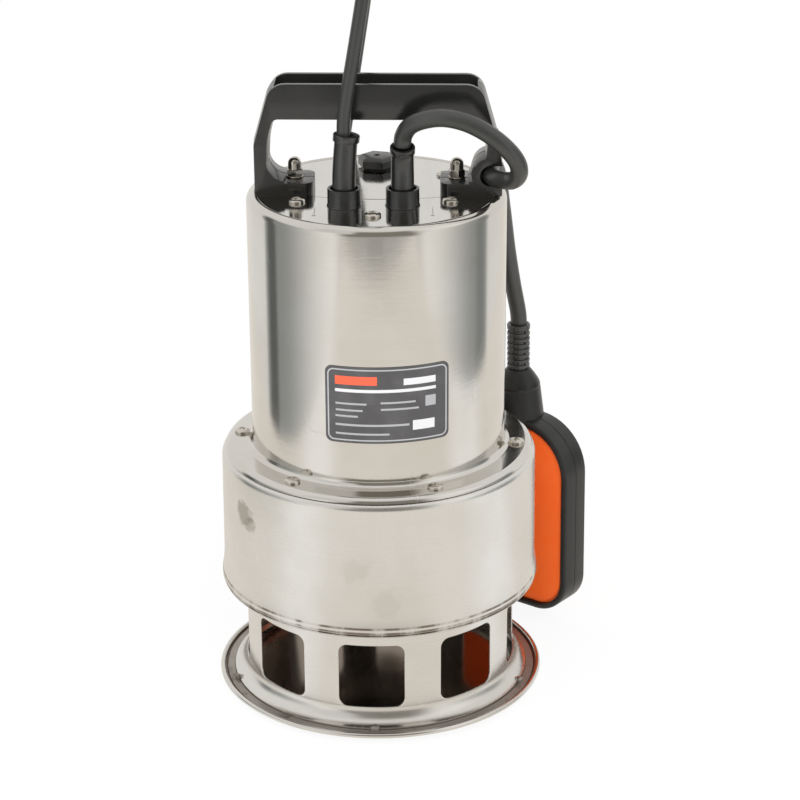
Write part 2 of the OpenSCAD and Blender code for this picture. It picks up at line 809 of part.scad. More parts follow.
module float_shell(side) {
  lip = 3;
  half = float_t / 2;
  neck_half = 15;
  color(BLACK) place_float() difference() {
    union() {
      translate([0, side < 0 ? -half : 0.05, 0]) rotate([-90, 0, 0]) mirror([0, 1, 0])
        linear_extrude(half - 0.05) float_outline(0);
      intersection() {
        float_neck();
        translate([-20, side < 0 ? -neck_half : 0.05, 100]) cube([40, neck_half - 0.05, 60]);
      }
    }
    translate([0, -20, 0]) rotate([-90, 0, 0]) mirror([0, 1, 0]) linear_extrude(40) float_outline(lip);
    translate([0, 0, 100]) cylinder(r = 5.05, h = 60);
  }
}

// Round neck above the body, wider than the body is thick
module float_neck() {
  rotate_extrude() polygon([[0, 111.5], [13.6, 111.5], [13.6, 113], [11.2, 132], [6.2, 139], [0, 139]]);
}

module float_front_shell() float_shell(-1);
module float_rear_shell() float_shell(1);

// The sealed capsule between the shells, with the room for the ball and the switch
module float_core() {
  recess = 1.7;
  core_half = float_t / 2 - recess;
  color(ORANGE) place_float() difference() {
    translate([0, -core_half, 0]) rotate([-90, 0, 0]) mirror([0, 1, 0]) linear_extrude(2 * core_half)
      float_outline(3.2);
    translate([-22, -6.6, 30]) cube([44, 13.2, 66]);
    translate([0, 0, 90]) cylinder(r = 4.3, h = 40);
  }
}

module float_boot() {
  rib_count = 7;
  pitch = 2.9;
  color(RUBBER) place_float() {
    translate([0, 0, 116]) cylinder(r = 5, h = 24);
    translate([0, 0, 139]) cylinder(r = 5.2, h = 24.5);
    for (i = [0:rib_count - 1]) ring(5.1, 5.9, 140 + i * pitch, 141.8 + i * pitch);
    ring(5.1, 5.9, 160.6, 163.5);
  }
}

module float_switch_tube() {
  color("#dedbd2") place_float() {
    ring(5.1, 6.3, 40, 80);
    translate([0, 0, 38]) cylinder(r = 6.3, h = 2);
  }
}

module float_microswitch() {
  color("#3b3d40") place_float() {
    translate([-10, -3, 84]) cube([20, 6, 10]);
    translate([-9, -1.5, 82.6]) cube([14, 3, 0.6]);
    translate([4, -1.5, 83.2]) cube([1, 3, 0.8]);
  }
}

module float_ball() {
  color(BRIGHT) place_float() translate([0, 0, 45.1]) sphere(5);
}

//// Power cable with its coil and plug

module power_cable() {
  color(RUBBER) tube(power_route, power_cable_d / 2, 8);
}

module power_cable_tail() {
  color(RUBBER) tube(tail_route, power_cable_d / 2, 8);
}

module power_cable_coil() {
  color(RUBBER) tube(coil_route, power_cable_d / 2, 6);
}

module mains_plug() {
  color(BLACK) translate(plug_place) rotate([0, 90, 0]) {
    cylinder(r1 = 5, r2 = 9, h = 18);
    translate([0, 0, 18]) cylinder(r1 = 12, r2 = 15, h = 12);
    translate([0, 0, 30]) cylinder(r = 19, h = 14);
  }
}

module plug_pins() {
  color(BRIGHT) translate(plug_place + [44, 0, 0]) rotate([0, 90, 0])
    for (s = [-1, 1]) translate([0, s * 9.5, 0]) {
      cylinder(r = 2.4, h = 17);
      translate([0, 0, 17]) sphere(2.4);
    }
}

// A flat strap round the coil's turns
module coil_tie() {
  inner = [37.2, 27.5];
  color("#1c1d1f") translate([coil_centre[0] - 5, coil_centre[1] + 20.4 - tie_t, 0]) difference() {
    cube([10, inner[0] + 2 * tie_t, inner[1] + 2 * tie_t]);
    translate([-1, tie_t, tie_t]) cube([12, inner[0], inner[1]]);
  }
}

echo(rise = path_length(power_route), coil = path_length(coil_route), tail = path_length(tail_route));
echo(float_cable = path_length(float_loop_route) + path_length(float_drop_route));
echo(coil_gap = least_gap(coil_route, 12) - power_cable_d);

base_plate();
strainer();
strainer_screws();
pump_casing();
suction_plate();
volute();
discharge_outlet();
outlet_seal();
seal_plate();
seal_seat();
lower_bracket();
shaft_lip_seal();
housing_gasket();
motor_housing();
flange_screws();
stator_core();
stator_windings();
upper_bracket();
upper_bearing_outer();
lower_bearing_outer();
capacitor();
terminal_block();
clamp_ring();
cover_gasket();
top_cover();
cover_screws();
carry_handle();
handle_studs();
handle_washers();
handle_cap_nuts();
gland_collars();
power_cable_sleeve();
float_cable_sleeve();
gland_lock_nuts();
vent_plug();
vent_plug_seal();
rating_plate();
float_cable_loop();
motor_shaft();
rotor_core();
upper_bearing_inner();
lower_bearing_inner();
seal_head();
seal_bellows();
impeller();
impeller_nut();
float_front_shell();
float_rear_shell();
float_core();
float_boot();
float_cable_drop();
float_switch_tube();
float_microswitch();
float_ball();
power_cable();
power_cable_coil();
power_cable_tail();
mains_plug();
plug_pins();
coil_tie();
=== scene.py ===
"""Looks of a submersible sump pump with a float switch.

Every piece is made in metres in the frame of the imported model: the origin is on the pump's axis, on
the floor, +Z is up, the front with the rating plate faces -Y, and the handle runs along X. Sizes in
the classes are in millimetres.
"""

import json
import logging
import math
from collections.abc import Sequence
from dataclasses import dataclass
from enum import Enum

import bmesh
import bpy
import numpy as np
from mathutils import Matrix, Vector

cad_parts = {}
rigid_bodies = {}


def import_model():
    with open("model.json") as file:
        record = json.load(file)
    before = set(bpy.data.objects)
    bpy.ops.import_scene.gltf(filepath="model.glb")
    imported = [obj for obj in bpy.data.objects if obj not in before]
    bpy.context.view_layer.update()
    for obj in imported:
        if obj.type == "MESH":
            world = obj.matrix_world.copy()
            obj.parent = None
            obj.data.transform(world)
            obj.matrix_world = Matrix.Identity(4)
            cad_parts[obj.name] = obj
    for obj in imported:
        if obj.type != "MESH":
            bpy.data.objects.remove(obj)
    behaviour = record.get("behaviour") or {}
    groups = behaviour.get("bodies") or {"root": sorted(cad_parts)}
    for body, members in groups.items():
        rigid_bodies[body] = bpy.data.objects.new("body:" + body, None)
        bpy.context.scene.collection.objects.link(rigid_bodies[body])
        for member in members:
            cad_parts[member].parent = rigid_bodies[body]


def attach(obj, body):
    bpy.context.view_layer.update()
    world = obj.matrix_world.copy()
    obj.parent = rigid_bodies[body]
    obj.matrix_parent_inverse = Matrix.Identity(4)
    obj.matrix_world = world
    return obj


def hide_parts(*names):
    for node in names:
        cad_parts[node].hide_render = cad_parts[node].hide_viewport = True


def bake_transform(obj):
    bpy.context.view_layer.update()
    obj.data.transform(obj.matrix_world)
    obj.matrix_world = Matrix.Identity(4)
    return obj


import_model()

LOG = logging.getLogger("pump")
MM = 0.001
Point = tuple[float, float]
Point3 = tuple[float, float, float]
PUMP, FLOAT = "pump", "float"

# Sizes in millimetres that several pieces share. What stands on the cover is a little left of the axis.
COVER_TOP = 256.0
COVER_SHIFT = -0.9
FOOT_TOP = 263.0
HANDLE_LEAN = 0.03


# ---------------------------------------------------------------- meshes


def to_object(name: str, vertices: np.ndarray, faces: list, sharp: float = 32.0) -> bpy.types.Object:
    """Makes a smooth shaded object from vertices in millimetres.

    Args:
        name: The piece's name.
        vertices: An array of points, three numbers each.
        faces: Lists of vertex indices, counter-clockwise from outside.
        sharp: The angle in degrees past which an edge is shaded sharp.

    Returns:
        The object, linked to the scene.
    """
    mesh = bpy.data.meshes.new(name)
    mesh.from_pydata((np.asarray(vertices, float) * MM).tolist(), [], faces)
    mesh.update()
    mesh.shade_smooth()
    mesh.set_sharp_from_angle(angle=math.radians(sharp))
    piece = bpy.data.objects.new(name, mesh)
    bpy.context.scene.collection.objects.link(piece)
    return piece


def join(name: str, pieces: Sequence[bpy.types.Object]) -> bpy.types.Object:
    """Joins pieces into one object called name and returns it.

    Args:
        name: The joined piece's name.
        pieces: Pieces that are used up.

    Returns:
        The one object, with its vertices in place.
    """
    vertices, faces, offset = [], [], 0
    for piece in pieces:
        mesh = piece.data
        vertices += [tuple(piece.matrix_world @ v.co / MM) for v in mesh.vertices]
        faces += [[offset + i for i in polygon.vertices] for polygon in mesh.polygons]
        offset += len(mesh.vertices)
        bpy.data.objects.remove(piece)
        bpy.data.meshes.remove(mesh)
    return to_object(name, np.array(vertices), faces)


def arc(cx: float, cz: float, r: float, start: float, end: float, steps: int = 8) -> list[Point]:
    """Returns points on an arc about (cx, cz), from the angle start to end in degrees.

    Args:
        cx: The centre's first coordinate.
        cz: The centre's second coordinate.
        r: The radius.
        start: First angle.
        end: Last angle.
        steps: Number of steps.

    Returns:
        The points, both ends included.
    """
    return [
        (cx + r * math.cos(math.radians(a)), cz + r * math.sin(math.radians(a)))
        for a in np.linspace(start, end, steps + 1)
    ]


def lathe(
    name: str, profile: Sequence[Point], segments: int = 192, centre: Point = (0.0, 0.0), sharp: float = 32.0
) -> bpy.types.Object:
    """Turns a closed outline round a vertical axis.

    Args:
        name: The piece's name.
        profile: Points (radius, height) in millimetres, round the section in either sense.
        segments: Number of steps round the axis.
        centre: Where the axis stands, in millimetres.
        sharp: The angle past which an edge is shaded sharp.

    Returns:
        The closed solid.
    """
    outline = list(profile)
    area = sum(a[0] * b[1] - b[0] * a[1] for a, b in zip(outline, outline[1:] + outline[:1]))
    if area < 0:
        outline.reverse()
    angles = np.linspace(0, 2 * math.pi, segments, endpoint=False)
    vertices, rows = [], []
    for r, z in outline:
        if r < 1e-6:
            rows.append([len(vertices)] * segments)
            vertices.append((centre[0], centre[1], z))
            continue
        rows.append(list(range(len(vertices), len(vertices) + segments)))
        vertices += [(centre[0] + r * math.cos(a), centre[1] + r * math.sin(a), z) for a in angles]
    faces = []
    for row, following in zip(rows, rows[1:] + rows[:1]):
        for j in range(segments):
            k = (j + 1) % segments
            face = list(dict.fromkeys((row[j], row[k], following[k], following[j])))
            if len(face) > 2:
                faces.append(face)
    return to_object(name, np.array(vertices), faces, sharp)


def loft(
    name: str, rings: Sequence[np.ndarray], closed: bool = False, capped: bool = True, sharp: float = 32.0
) -> bpy.types.Object:
    """Joins rings of equal length into a skin.

    Args:
        name: The piece's name.
        rings: Arrays of points, each a loop that runs counter-clockwise seen from the last ring.
        closed: Whether the last ring joins the first, as on a frame.
        capped: Whether the first and last rings are closed with a face each.
        sharp: The angle past which an edge is shaded sharp.

    Returns:
        The solid.
    """
    count = len(rings[0])
    vertices = np.concatenate(rings)
    faces = []
    last = len(rings) if closed else len(rings) - 1
    for i in range(last):
        a, b = i * count, (i + 1) % len(rings) * count
        for j in range(count):
            k = (j + 1) % count
            faces.append([a + j, a + k, b + k, b + j])
    if capped and not closed:
        faces.append(list(range(count))[::-1])
        faces.append([(len(rings) - 1) * count + j for j in range(count)])
    return to_object(name, vertices, faces, sharp)


def rounded_rectangle(w: float, h: float, r: float, side: int = 12, corner: int = 6) -> np.ndarray:
    """Returns a rectangle with round corners as a counter-clockwise loop of points (x, y).

    Args:
        w: Width.
        h: Height.
        r: The corners' radius.
        side: Steps along each side.
        corner: Steps round each corner.

    Returns:
        The points, about the rectangle's middle.
    """
    points: list[Point] = []
    for sx, sy, start in ((1, 1, 0), (-1, 1, 90), (-1, -1, 180), (1, -1, 270)):
        cx, cy = sx * (w / 2 - r), sy * (h / 2 - r)
        points += arc(cx, cy, r, start, start + 90, corner)
        length = w - 2 * r if start in (0, 180) else h - 2 * r
        direction = {0: (-1, 0), 90: (0, -1), 180: (1, 0), 270: (0, 1)}[start]
        x, y = points[-1]
        points += [
            (x + direction[0] * length * i / side, y + direction[1] * length * i / side)
            for i in range(1, side)
        ]
    return np.array(points)


def smooth_path(route: Sequence[Point3], step: float) -> np.ndarray:
    """Returns a smooth line through the route's points, with a point every step millimetres.

    Args:
        route: Points that the line passes through.
        step: Distance between points of the result.

    Returns:
        The line's points.
    """
    p = np.array(route, float)
    p = np.vstack([2 * p[0] - p[1], p, 2 * p[-1] - p[-2]])
    dense = []
    for a, b, c, d in zip(p, p[1:], p[2:], p[3:]):
        for t in np.linspace(0, 1, 24, endpoint=False):
            square, cube = 2 * a - 5 * b + 4 * c - d, 3 * b - 3 * c + d - a
            dense.append(0.5 * (2 * b + (c - a) * t + square * t**2 + cube * t**3))
    dense.append(p[-2])
    line = np.array(dense)
    run = np.concatenate([[0], np.cumsum(np.linalg.norm(np.diff(line, axis=0), axis=1))])
    marks = np.linspace(0, run[-1], max(2, round(run[-1] / step) + 1))
    return np.stack([np.interp(marks, run, line[:, i]) for i in range(3)], axis=1)


def tube(name: str, path: np.ndarray, radius: float, sides: int = 20) -> bpy.types.Object:
    """Sweeps a round section along a path in millimetres, with round ends left flat.

    Args:
        name: The piece's name.
        path: The centre line's points.
        radius: The section's radius.
        sides: Number of the section's sides.

    Returns:
        The closed tube.
    """
    heading = np.gradient(path, axis=0)
    heading /= np.linalg.norm(heading, axis=1)[:, None]
    side = np.cross(heading[0], (0, 0, 1) if abs(heading[0][2]) < 0.9 else (1, 0, 0))
    rings = []
    angles = np.linspace(0, 2 * math.pi, sides, endpoint=False)
    for point, along in zip(path, heading):
        side = side - (side @ along) * along
        side /= np.linalg.norm(side)
        other = np.cross(along, side)
        rings.append(point + radius * (np.outer(np.cos(angles), side) + np.outer(np.sin(angles), other)))
    return loft(name, rings)


def applied(piece: bpy.types.Object, name: str, sharp: float = 40.0) -> bpy.types.Object:
    """Turns a piece with live modifiers into a plain mesh piece called name.

    Args:
        piece: The piece, which is used up.
        name: The result's name.
        sharp: The angle past which an edge is shaded sharp.

    Returns:
        The plain piece.
    """
    bpy.context.view_layer.update()
    source = piece.evaluated_get(bpy.context.evaluated_depsgraph_get())
    mesh = bpy.data.meshes.new_from_object(source)
    mesh.name = name
    mesh.shade_smooth()
    mesh.set_sharp_from_angle(angle=math.radians(sharp))
    old = piece.data
    bpy.data.objects.remove(piece)
    if old.users == 0:
        bpy.data.meshes.remove(old)
    result = bpy.data.objects.new(name, mesh)
    bpy.context.scene.collection.objects.link(result)
    return result


def bend(piece: bpy.types.Object, root: Point3, rise: float, tilt: Point) -> bpy.types.Object:
    """Bends the upper part of an upright piece.

    Args:
        piece: The piece, in metres.
        root: The point in millimetres on its axis from which it bends.
        rise: The length in millimetres over which it bends.
        tilt: The angle in degrees that its top leans to the right, and towards the front.

    Returns:
        The same piece.
    """
    right, front = (math.radians(angle) for angle in tilt)
    for vertex in piece.data.vertices:
        x, y, z = (value / MM - start for value, start in zip(vertex.co, root))
        if z <= 0:
            continue
        f = min(z / rise, 1.0)
        along = rise * f * f / 2 + (z - rise if z > rise else 0.0)
        lean_x, lean_y = right * f, -front * f
        vertex.co = Vector((
            root[0] + x * math.cos(lean_x) + along * math.sin(right),
            root[1] + y * math.cos(lean_y) - along * math.sin(front),
            root[2] + z - x * math.sin(lean_x) - y * math.sin(lean_y),
        )) * MM
    return piece


# ---------------------------------------------------------------- shader maths


class Value:
    """A number in a shader that takes part in Python arithmetic."""

    def __init__(self, board: "Tree", socket: bpy.types.NodeSocket) -> None:
        """Wraps the socket of a board."""
        self.board = board
        self.socket = socket

    def _with(self, operation: str, a: object, b: object = None) -> "Value":
        """Returns the result of a Math node's operation.

        Args:
            operation: The Math node's operation.
            a: First number or value.
            b: Second one, or None.

        Returns:
            The result.
        """
        values = {0: a} if b is None else {0: a, 1: b}
        node = self.board.node("ShaderNodeMath", {"operation": operation}, values)
        return Value(self.board, node.outputs[0])

    def __add__(self, other: object) -> "Value":
        """Returns the sum."""
        return self._with("ADD", self, other)

    __radd__ = __add__

    def __sub__(self, other: object) -> "Value":
        """Returns the difference."""
        return self._with("SUBTRACT", self, other)

    def __rsub__(self, other: object) -> "Value":
        """Returns the difference, the other way round."""
        return self._with("SUBTRACT", other, self)

    def __mul__(self, other: object) -> "Value":
        """Returns the product."""
        return self._with("MULTIPLY", self, other)

    __rmul__ = __mul__

    def __pow__(self, other: object) -> "Value":
        """Returns the power."""
        return self._with("POWER", self, other)

    def __abs__(self) -> "Value":
        """Returns the size without its sign."""
        return self._with("ABSOLUTE", self)

    def sine(self) -> "Value":
        """Returns the sine."""
        return self._with("SINE", self)

    def lesser(self, other: object) -> "Value":
        """Returns the lesser of the two."""
        return self._with("MINIMUM", self, other)

    def greater(self, other: object) -> "Value":
        """Returns the greater of the two."""
        return self._with("MAXIMUM", self, other)

    def rise(self, low: float, high: float) -> "Value":
        """Returns 0 below low and 1 above high, with a smooth step between; low may be the higher.

        Args:
            low: Where the step starts.
            high: Where it ends.

        Returns:
            The step.
        """
        values = {0: self, 1: low, 2: high, 3: 0.0, 4: 1.0}
        settings = {"interpolation_type": "SMOOTHSTEP"}
        return Value(self.board, self.board.node("ShaderNodeMapRange", settings, values).outputs[0])

    def sweep(self, low: float, high: float) -> "Value":
        """Returns rise's smooth step of an angle, between two angles in degrees."""
        return self.rise(math.radians(low), math.radians(high))


class Tree:
    """A shader's node tree, with short ways to fill it."""

    def __init__(self, tree: bpy.types.NodeTree) -> None:
        """Starts with an empty tree."""
        self.tree = tree
        tree.nodes.clear()

    def link(self, source: bpy.types.NodeSocket, target: bpy.types.NodeSocket) -> None:
        """Links two sockets."""
        self.tree.links.new(source, target)

    def node(self, kind: str, settings: dict, values: dict) -> bpy.types.Node:
        """Adds a node.

        Args:
            kind: The node's type.
            settings: Its settings, such as a Math node's operation.
            values: Values or links of its inputs, by name or index.

        Returns:
            The node.
        """
        node = self.tree.nodes.new(kind)
        for key, value in settings.items():
            setattr(node, key, value)
        for key, value in values.items():
            self.fill(node.inputs[key], value)
        return node

    def fill(self, target: bpy.types.NodeSocket, value: object) -> None:
        """Links or sets one input.

        Args:
            target: The input.
            value: A number, colour, value or socket.
        """
        if isinstance(value, Value):
            self.link(value.socket, target)
        elif isinstance(value, bpy.types.NodeSocket):
            self.link(value, target)
        else:
            target.default_value = tint(value)

    def split(self, vector: bpy.types.NodeSocket) -> tuple[Value, Value, Value]:
        """Returns a vector's three numbers."""
        parts = self.node("ShaderNodeSeparateXYZ", {}, {0: vector})
        return tuple(Value(self, socket) for socket in parts.outputs)

    def vector(self, x: object, y: object, z: object) -> bpy.types.NodeSocket:
        """Returns a vector made of three numbers."""
        return self.node("ShaderNodeCombineXYZ", {}, {0: x, 1: y, 2: z}).outputs[0]

    def turn(self, x: Value, y: Value) -> Value:
        """Returns the angle about the pump's axis, 0 at the front and rising to the right."""
        node = self.node("ShaderNodeMath", {"operation": "ARCTAN2"}, {0: x, 1: y * -1})
        return Value(self, node.outputs[0])

    def noise(self, vector: object, scale: float, detail: float = 3.0, rough: float = 0.5) -> Value:
        """Returns a noise between 0 and 1."""
        values = {"Vector": vector, "Scale": scale, "Detail": detail, "Roughness": rough}
        return Value(self, self.node("ShaderNodeTexNoise", {}, values).outputs["Fac"])

    def mix(self, amount: object, a: object, b: object) -> bpy.types.NodeSocket:
        """Returns colour a turned into colour b by an amount from 0 to 1."""
        settings = {"data_type": "RGBA", "clamp_factor": True}
        return self.node("ShaderNodeMix", settings, {0: amount, 6: a, 7: b}).outputs[2]

    def bump(self, height: Value, distance: float, strength: float = 1.0) -> bpy.types.NodeSocket:
        """Returns a normal that follows a height, whose full step is distance metres."""
        values = {"Height": height, "Distance": distance, "Strength": strength}
        return self.node("ShaderNodeBump", {}, values).outputs[0]

    def rays(self) -> tuple[Value, Value]:
        """Returns masks of the camera's own rays, and of rays that a mirror or glass passes on.

        Returns:
            The two masks.
        """
        path = self.node("ShaderNodeLightPath", {}, {})
        camera, glossy, through = (
            Value(self, path.outputs[f"Is {kind} Ray"]) for kind in ("Camera", "Glossy", "Transmission")
        )
        return camera, glossy.greater(through)


class Board(Tree):
    """The node tree of one material round its main shader."""

    def __init__(self, name: str) -> None:
        """Starts the material called name.

        Args:
            name: The material's name.
        """
        self.material = bpy.data.materials.new(name)
        self.material.use_nodes = True
        super().__init__(self.material.node_tree)
        self.out = self.node("ShaderNodeOutputMaterial", {}, {})
        self.shader = self.node("ShaderNodeBsdfPrincipled", {}, {})
        self.link(self.shader.outputs[0], self.out.inputs["Surface"])

    def place(self) -> bpy.types.NodeSocket:
        """Returns the point's place on the object."""
        return self.node("ShaderNodeTexCoord", {}, {}).outputs["Object"]

    def set(self, **values: object) -> None:
        """Sets or links inputs of the main shader, by name with spaces written as underscores."""
        for key, value in values.items():
            self.fill(self.shader.inputs[key.replace("_", " ")], value)


def tint(colour: object) -> object:
    """Returns a colour of three numbers with its alpha, and anything else as it is."""
    return (*colour, 1.0) if isinstance(colour, tuple) and len(colour) == 3 else colour


# ---------------------------------------------------------------- finishes


class Grain(Enum):
    """Ways that steel is brushed."""

    ROUND = "round the pump's axis"
    NONE = "polished all over"


@dataclass(frozen=True)
class Steel:
    """Stainless sheet or turned steel.

    Attributes:
        name: The material's name.
        colour: Its base colour.
        rough: Its mean roughness.
        change: How far the roughness strays.
        grain: Which way it is brushed.
        lines: Depth of the brushing in metres.
        waver: Depth in metres of the short waves that fray the edges of reflections.
        scratched: How strong the long curved scratches are.
        stains: Places of brownish stains: angle from the front, height, width and depth of tint.
        heat: Heights where welds have tinted the steel.
    """

    name: str
    colour: Point3 = (0.66, 0.645, 0.615)
    rough: float = 0.25
    change: float = 0.08
    grain: Grain = Grain.ROUND
    lines: float = 6e-6
    waver: float = 0.0
    scratched: float = 0.0
    stains: tuple[tuple[float, float, float, float], ...] = ()
    heat: tuple[float, ...] = ()

    def dirt_and_painted_shade(self, board: Board, place: bpy.types.NodeSocket, radius: Value, z: Value) -> Value | None:
        """Returns how much dirt and painted shade darken a point, or None for a clean finish."""
        return None

    def polish(self, radius: Value) -> Value | float:
        """Returns the share of its roughness that the steel keeps at a radius."""
        return 1.0

    def brushing(
        self, board: Board, place: bpy.types.NodeSocket, angle: Value, radius: Value, z: Value
    ) -> tuple[Value, Value]:
        """Returns the fine streaks that the brushing leaves, and softer smears.

        Args:
            board: The material's board.
            place: The point's place.
            angle: Angle about the axis.
            radius: Distance from the axis in metres.
            z: Height in metres.

        Returns:
            The streaks and the smears.
        """
        if self.grain is Grain.NONE:
            return board.noise(place, 700.0, 2.0, 0.6), board.noise(place, 60.0, 3.0, 0.6)
        streak = board.noise(board.vector(angle * 1.6, z * 900, radius * 900), 1.0, 4.0, 0.65)
        return streak, board.noise(board.vector(angle * 9, z * 60, radius * 60), 1.0, 3.0, 0.6)

    def scratches(self, board: Board, angle: Value, radius: Value, z: Value) -> Value:
        """Returns a mask of long curved scratches, which come and go.

        Args:
            board: The material's board.
            angle: Angle about the axis.
            radius: Distance from the axis in metres.
            z: Height in metres.

        Returns:
            A value that is 1 on a scratch.
        """
        bow = board.noise(board.vector(angle * 2.2, z * 22, radius * 5), 1.0, 0.0)
        where = board.noise(board.vector(angle * 3.1, z * 40, radius * 9), 1.0, 1.0).rise(0.56, 0.68)
        return (abs(bow - 0.55).rise(0.0035, 0.0) + abs(bow - 0.47).rise(0.0025, 0.0)) * where

    def stain(
        self, board: Board, place: bpy.types.NodeSocket, across: Value, up: Value, width: float
    ) -> Value:
        """Returns the mask of one ragged stain.

        Args:
            board: The material's board.
            place: The point's place.
            across: Distance round the steel from the stain's middle, in metres.
            up: Distance upwards from its middle, in metres.
            width: The stain's reach in metres.

        Returns:
            A value that is 1 on the stain.
        """
        distance = (across * across + up * up) ** 0.5
        ragged = distance + (board.noise(place, 130.0, 5.0, 0.75) - 0.5) * (width * 2.2)
        return ragged.rise(width, width * 0.45)

    def material(self) -> bpy.types.Material:
        """Builds the material.

        Returns:
            The material.
        """
        board = Board(self.name)
        place = board.place()
        x, y, z = board.split(place)
        angle = board.turn(x, y)
        radius = (x * x + y * y) ** 0.5
        cloud = board.noise(place, 22.0, 3.0, 0.55)
        fine = board.noise(place, 240.0, 2.0, 0.6)
        streak, smear = self.brushing(board, place, angle, radius, z)
        rough = self.rough + (cloud - 0.5) * self.change + (smear - 0.5) * self.change + (streak - 0.5) * 0.05
        dull = tuple(c * f for c, f in zip(self.colour, (0.88, 0.86, 0.82)))
        colour = board.mix(cloud.rise(0.35, 0.7) * 0.5 + (streak - 0.5) * 0.35, self.colour, dull)
        height = streak + fine * 0.4 + smear * 0.8
        if self.waver:
            wave = board.noise(board.vector(angle * 14, z * 420, radius * 420), 1.0, 2.0, 0.5)
            height = height + wave * (self.waver / self.lines)
        if self.scratched:
            scratch = self.scratches(board, angle, radius, z)
            colour = board.mix(scratch * self.scratched, colour, (0.86, 0.85, 0.83))
            rough = rough + scratch * 0.25
        for turn, level, width, depth in self.stains:
            across = (angle - math.radians(turn)) * radius
            mark = self.stain(board, place, across, z - level * MM, width * MM) * depth
            colour = board.mix(mark, colour, (0.24, 0.185, 0.13))
            rough = rough + mark * 0.15
        for level in self.heat:
            band = abs(z - level * MM).rise(0.0009, 0.0002) * (0.15 + smear.rise(0.35, 0.6) * 0.85)
            colour = board.mix(band * 0.85, colour, (0.13, 0.085, 0.055))
        # For the base, this mixes painted shade as well as dirt into the colour.
        dirt_and_painted_shade = self.dirt_and_painted_shade(board, place, radius, z)
        if dirt_and_painted_shade is not None:
            colour = board.mix(dirt_and_painted_shade, colour, (0.16, 0.11, 0.07))
            rough = rough + dirt_and_painted_shade * 0.2
        rough = rough * self.polish(radius)
        board.set(
            Base_Color=colour,
            Metallic=1.0,
            Roughness=rough.greater(0.04).lesser(0.9),
            Normal=board.bump(height, self.lines),
        )
        return board.material


@dataclass(frozen=True)
class DishSteel(Steel):
    """Steel of the base: polished inside the strainer, where its floor is darkened by painted shade, and dirty
    in the channel behind its rim, with lines of painted shade at the strainer's lip and in the gap behind the
    rolled rim.
    """

    def channel(self, radius: Value, soft: float) -> Value:
        """Returns a mask of the channel between the strainer's lip and the rim, with a soft start."""
        return radius.rise(0.0742, 0.0742 + soft) * radius.rise(0.0790, 0.0782)

    def dirt_and_painted_shade(self, board: Board, place: bpy.types.NodeSocket, radius: Value, z: Value) -> Value:
        """Returns painted shade as dark lines at the lip and behind the rim, brown patches of dirt, and
        painted shade on the inner floor.

        Args:
            board: The material's board.
            place: The point's place.
            radius: Distance from the axis in metres.
            z: Height in metres; not used.

        Returns:
            A value that is 1 where painted shade or dirt hides the steel.
        """
        patch = board.noise(place, 55.0, 4.0, 0.7)
        speck = board.noise(place, 300.0, 3.0, 0.6)
        # Painted shade: a dark line in the crease where the strainer's lip meets the dish.
        lip = abs(radius - 0.0745).rise(0.0007, 0.0001) * 0.85
        # Painted shade: a dark line in the gap between the channel and the rolled rim.
        groove = abs(radius - 0.0790).rise(0.0009, 0.0004) * 0.9
        spots = patch.rise(0.52, 0.72) * 0.5 + speck.rise(0.62, 0.75) * 0.35
        brown = self.channel(radius, 0.0006) * (spots + 0.40)
        # Painted shade: the floor inside the strainer, under the casing, is darkened.
        inside = radius.rise(0.0672, 0.0650) * 0.85
        return lip.greater(groove).greater(brown).greater(inside)

    def polish(self, radius: Value) -> Value:
        """Returns a third inside the strainer, where nothing rubs, and more in the dirty channel."""
        return radius.rise(0.0655, 0.0675) * 0.67 + 0.33 + self.channel(radius, 0.0008) * 1.3


@dataclass(frozen=True)
class Polished:
    """Mirror polished sheet with a faint pressed line behind the glands, whose shade is painted in as a dark
    line, and soft smudges.

    Attributes:
        name: The material's name.
        colour: Its base colour.
        rough: Its roughness.
        pressed: Place in metres of the pressed line's middle, and how strongly it bows.
        mark: Place in metres of the short scribed marks: how far to each side, and their front end.
        centre: Place of the marks' middle along X.
    """

    name: str
    colour: Point3 = (0.70, 0.685, 0.655)
    rough: float = 0.07
    pressed: Point3 = (0.003, -0.0149, 4.2)
    mark: Point = (0.0276, -0.0402)
    centre: float = -0.0007

    def material(self) -> bpy.types.Material:
        """Builds the material.

        Returns:
            The material.
        """
        board = Board(self.name)
        place = board.place()
        x, y, z = board.split(place)
        smudge = board.noise(board.vector(x * 90, y * 18, z * 90), 1.0, 4.0, 0.6).rise(0.45, 0.75)
        dust = board.noise(place, 900.0, 1.0, 0.5).rise(0.68, 0.8)
        line_x, line_y, bend = self.pressed
        bow = y - line_y - (x - line_x) * (x - line_x) * bend
        # Painted shade: the pressed crease is darkened in colour as well as dented.
        pressed = abs(bow).rise(0.0006, 0.0001) * abs(x).rise(0.033, 0.029)
        aside, along = abs(x - self.centre) - self.mark[0], y - self.mark[1]
        marks = abs(aside).rise(0.0005, 0.0001) * y.rise(-0.040, -0.037) * y.rise(-0.024, -0.031)
        pits = (aside * aside + along * along) ** 0.5
        spots = board.noise(place, 130.0, 3.0, 0.7).rise(0.69, 0.74) * 0.5
        # Painted shade along the pressed crease, with the real scribed marks, pits and spots.
        dirt_and_painted_shade = (pressed * 0.6).greater(marks * 0.55).greater(pits.rise(0.0013, 0.0006) * 0.8).greater(spots)
        scratch = board.noise(board.vector(x * 60, y * 1400, z), 1.0, 3.0, 0.7)
        base = board.mix(smudge * 0.3 + dust * 0.25, self.colour, (0.55, 0.53, 0.50))
        board.set(
            Base_Color=board.mix(dirt_and_painted_shade, base, (0.20, 0.15, 0.11)),
            Metallic=1.0,
            Roughness=self.rough + smudge * 0.06 + dust * 0.12 + dirt_and_painted_shade * 0.2,
            Normal=board.bump(scratch * 0.02 + smudge * 0.03 - pressed * 0.2, 0.0005),
        )
        return board.material


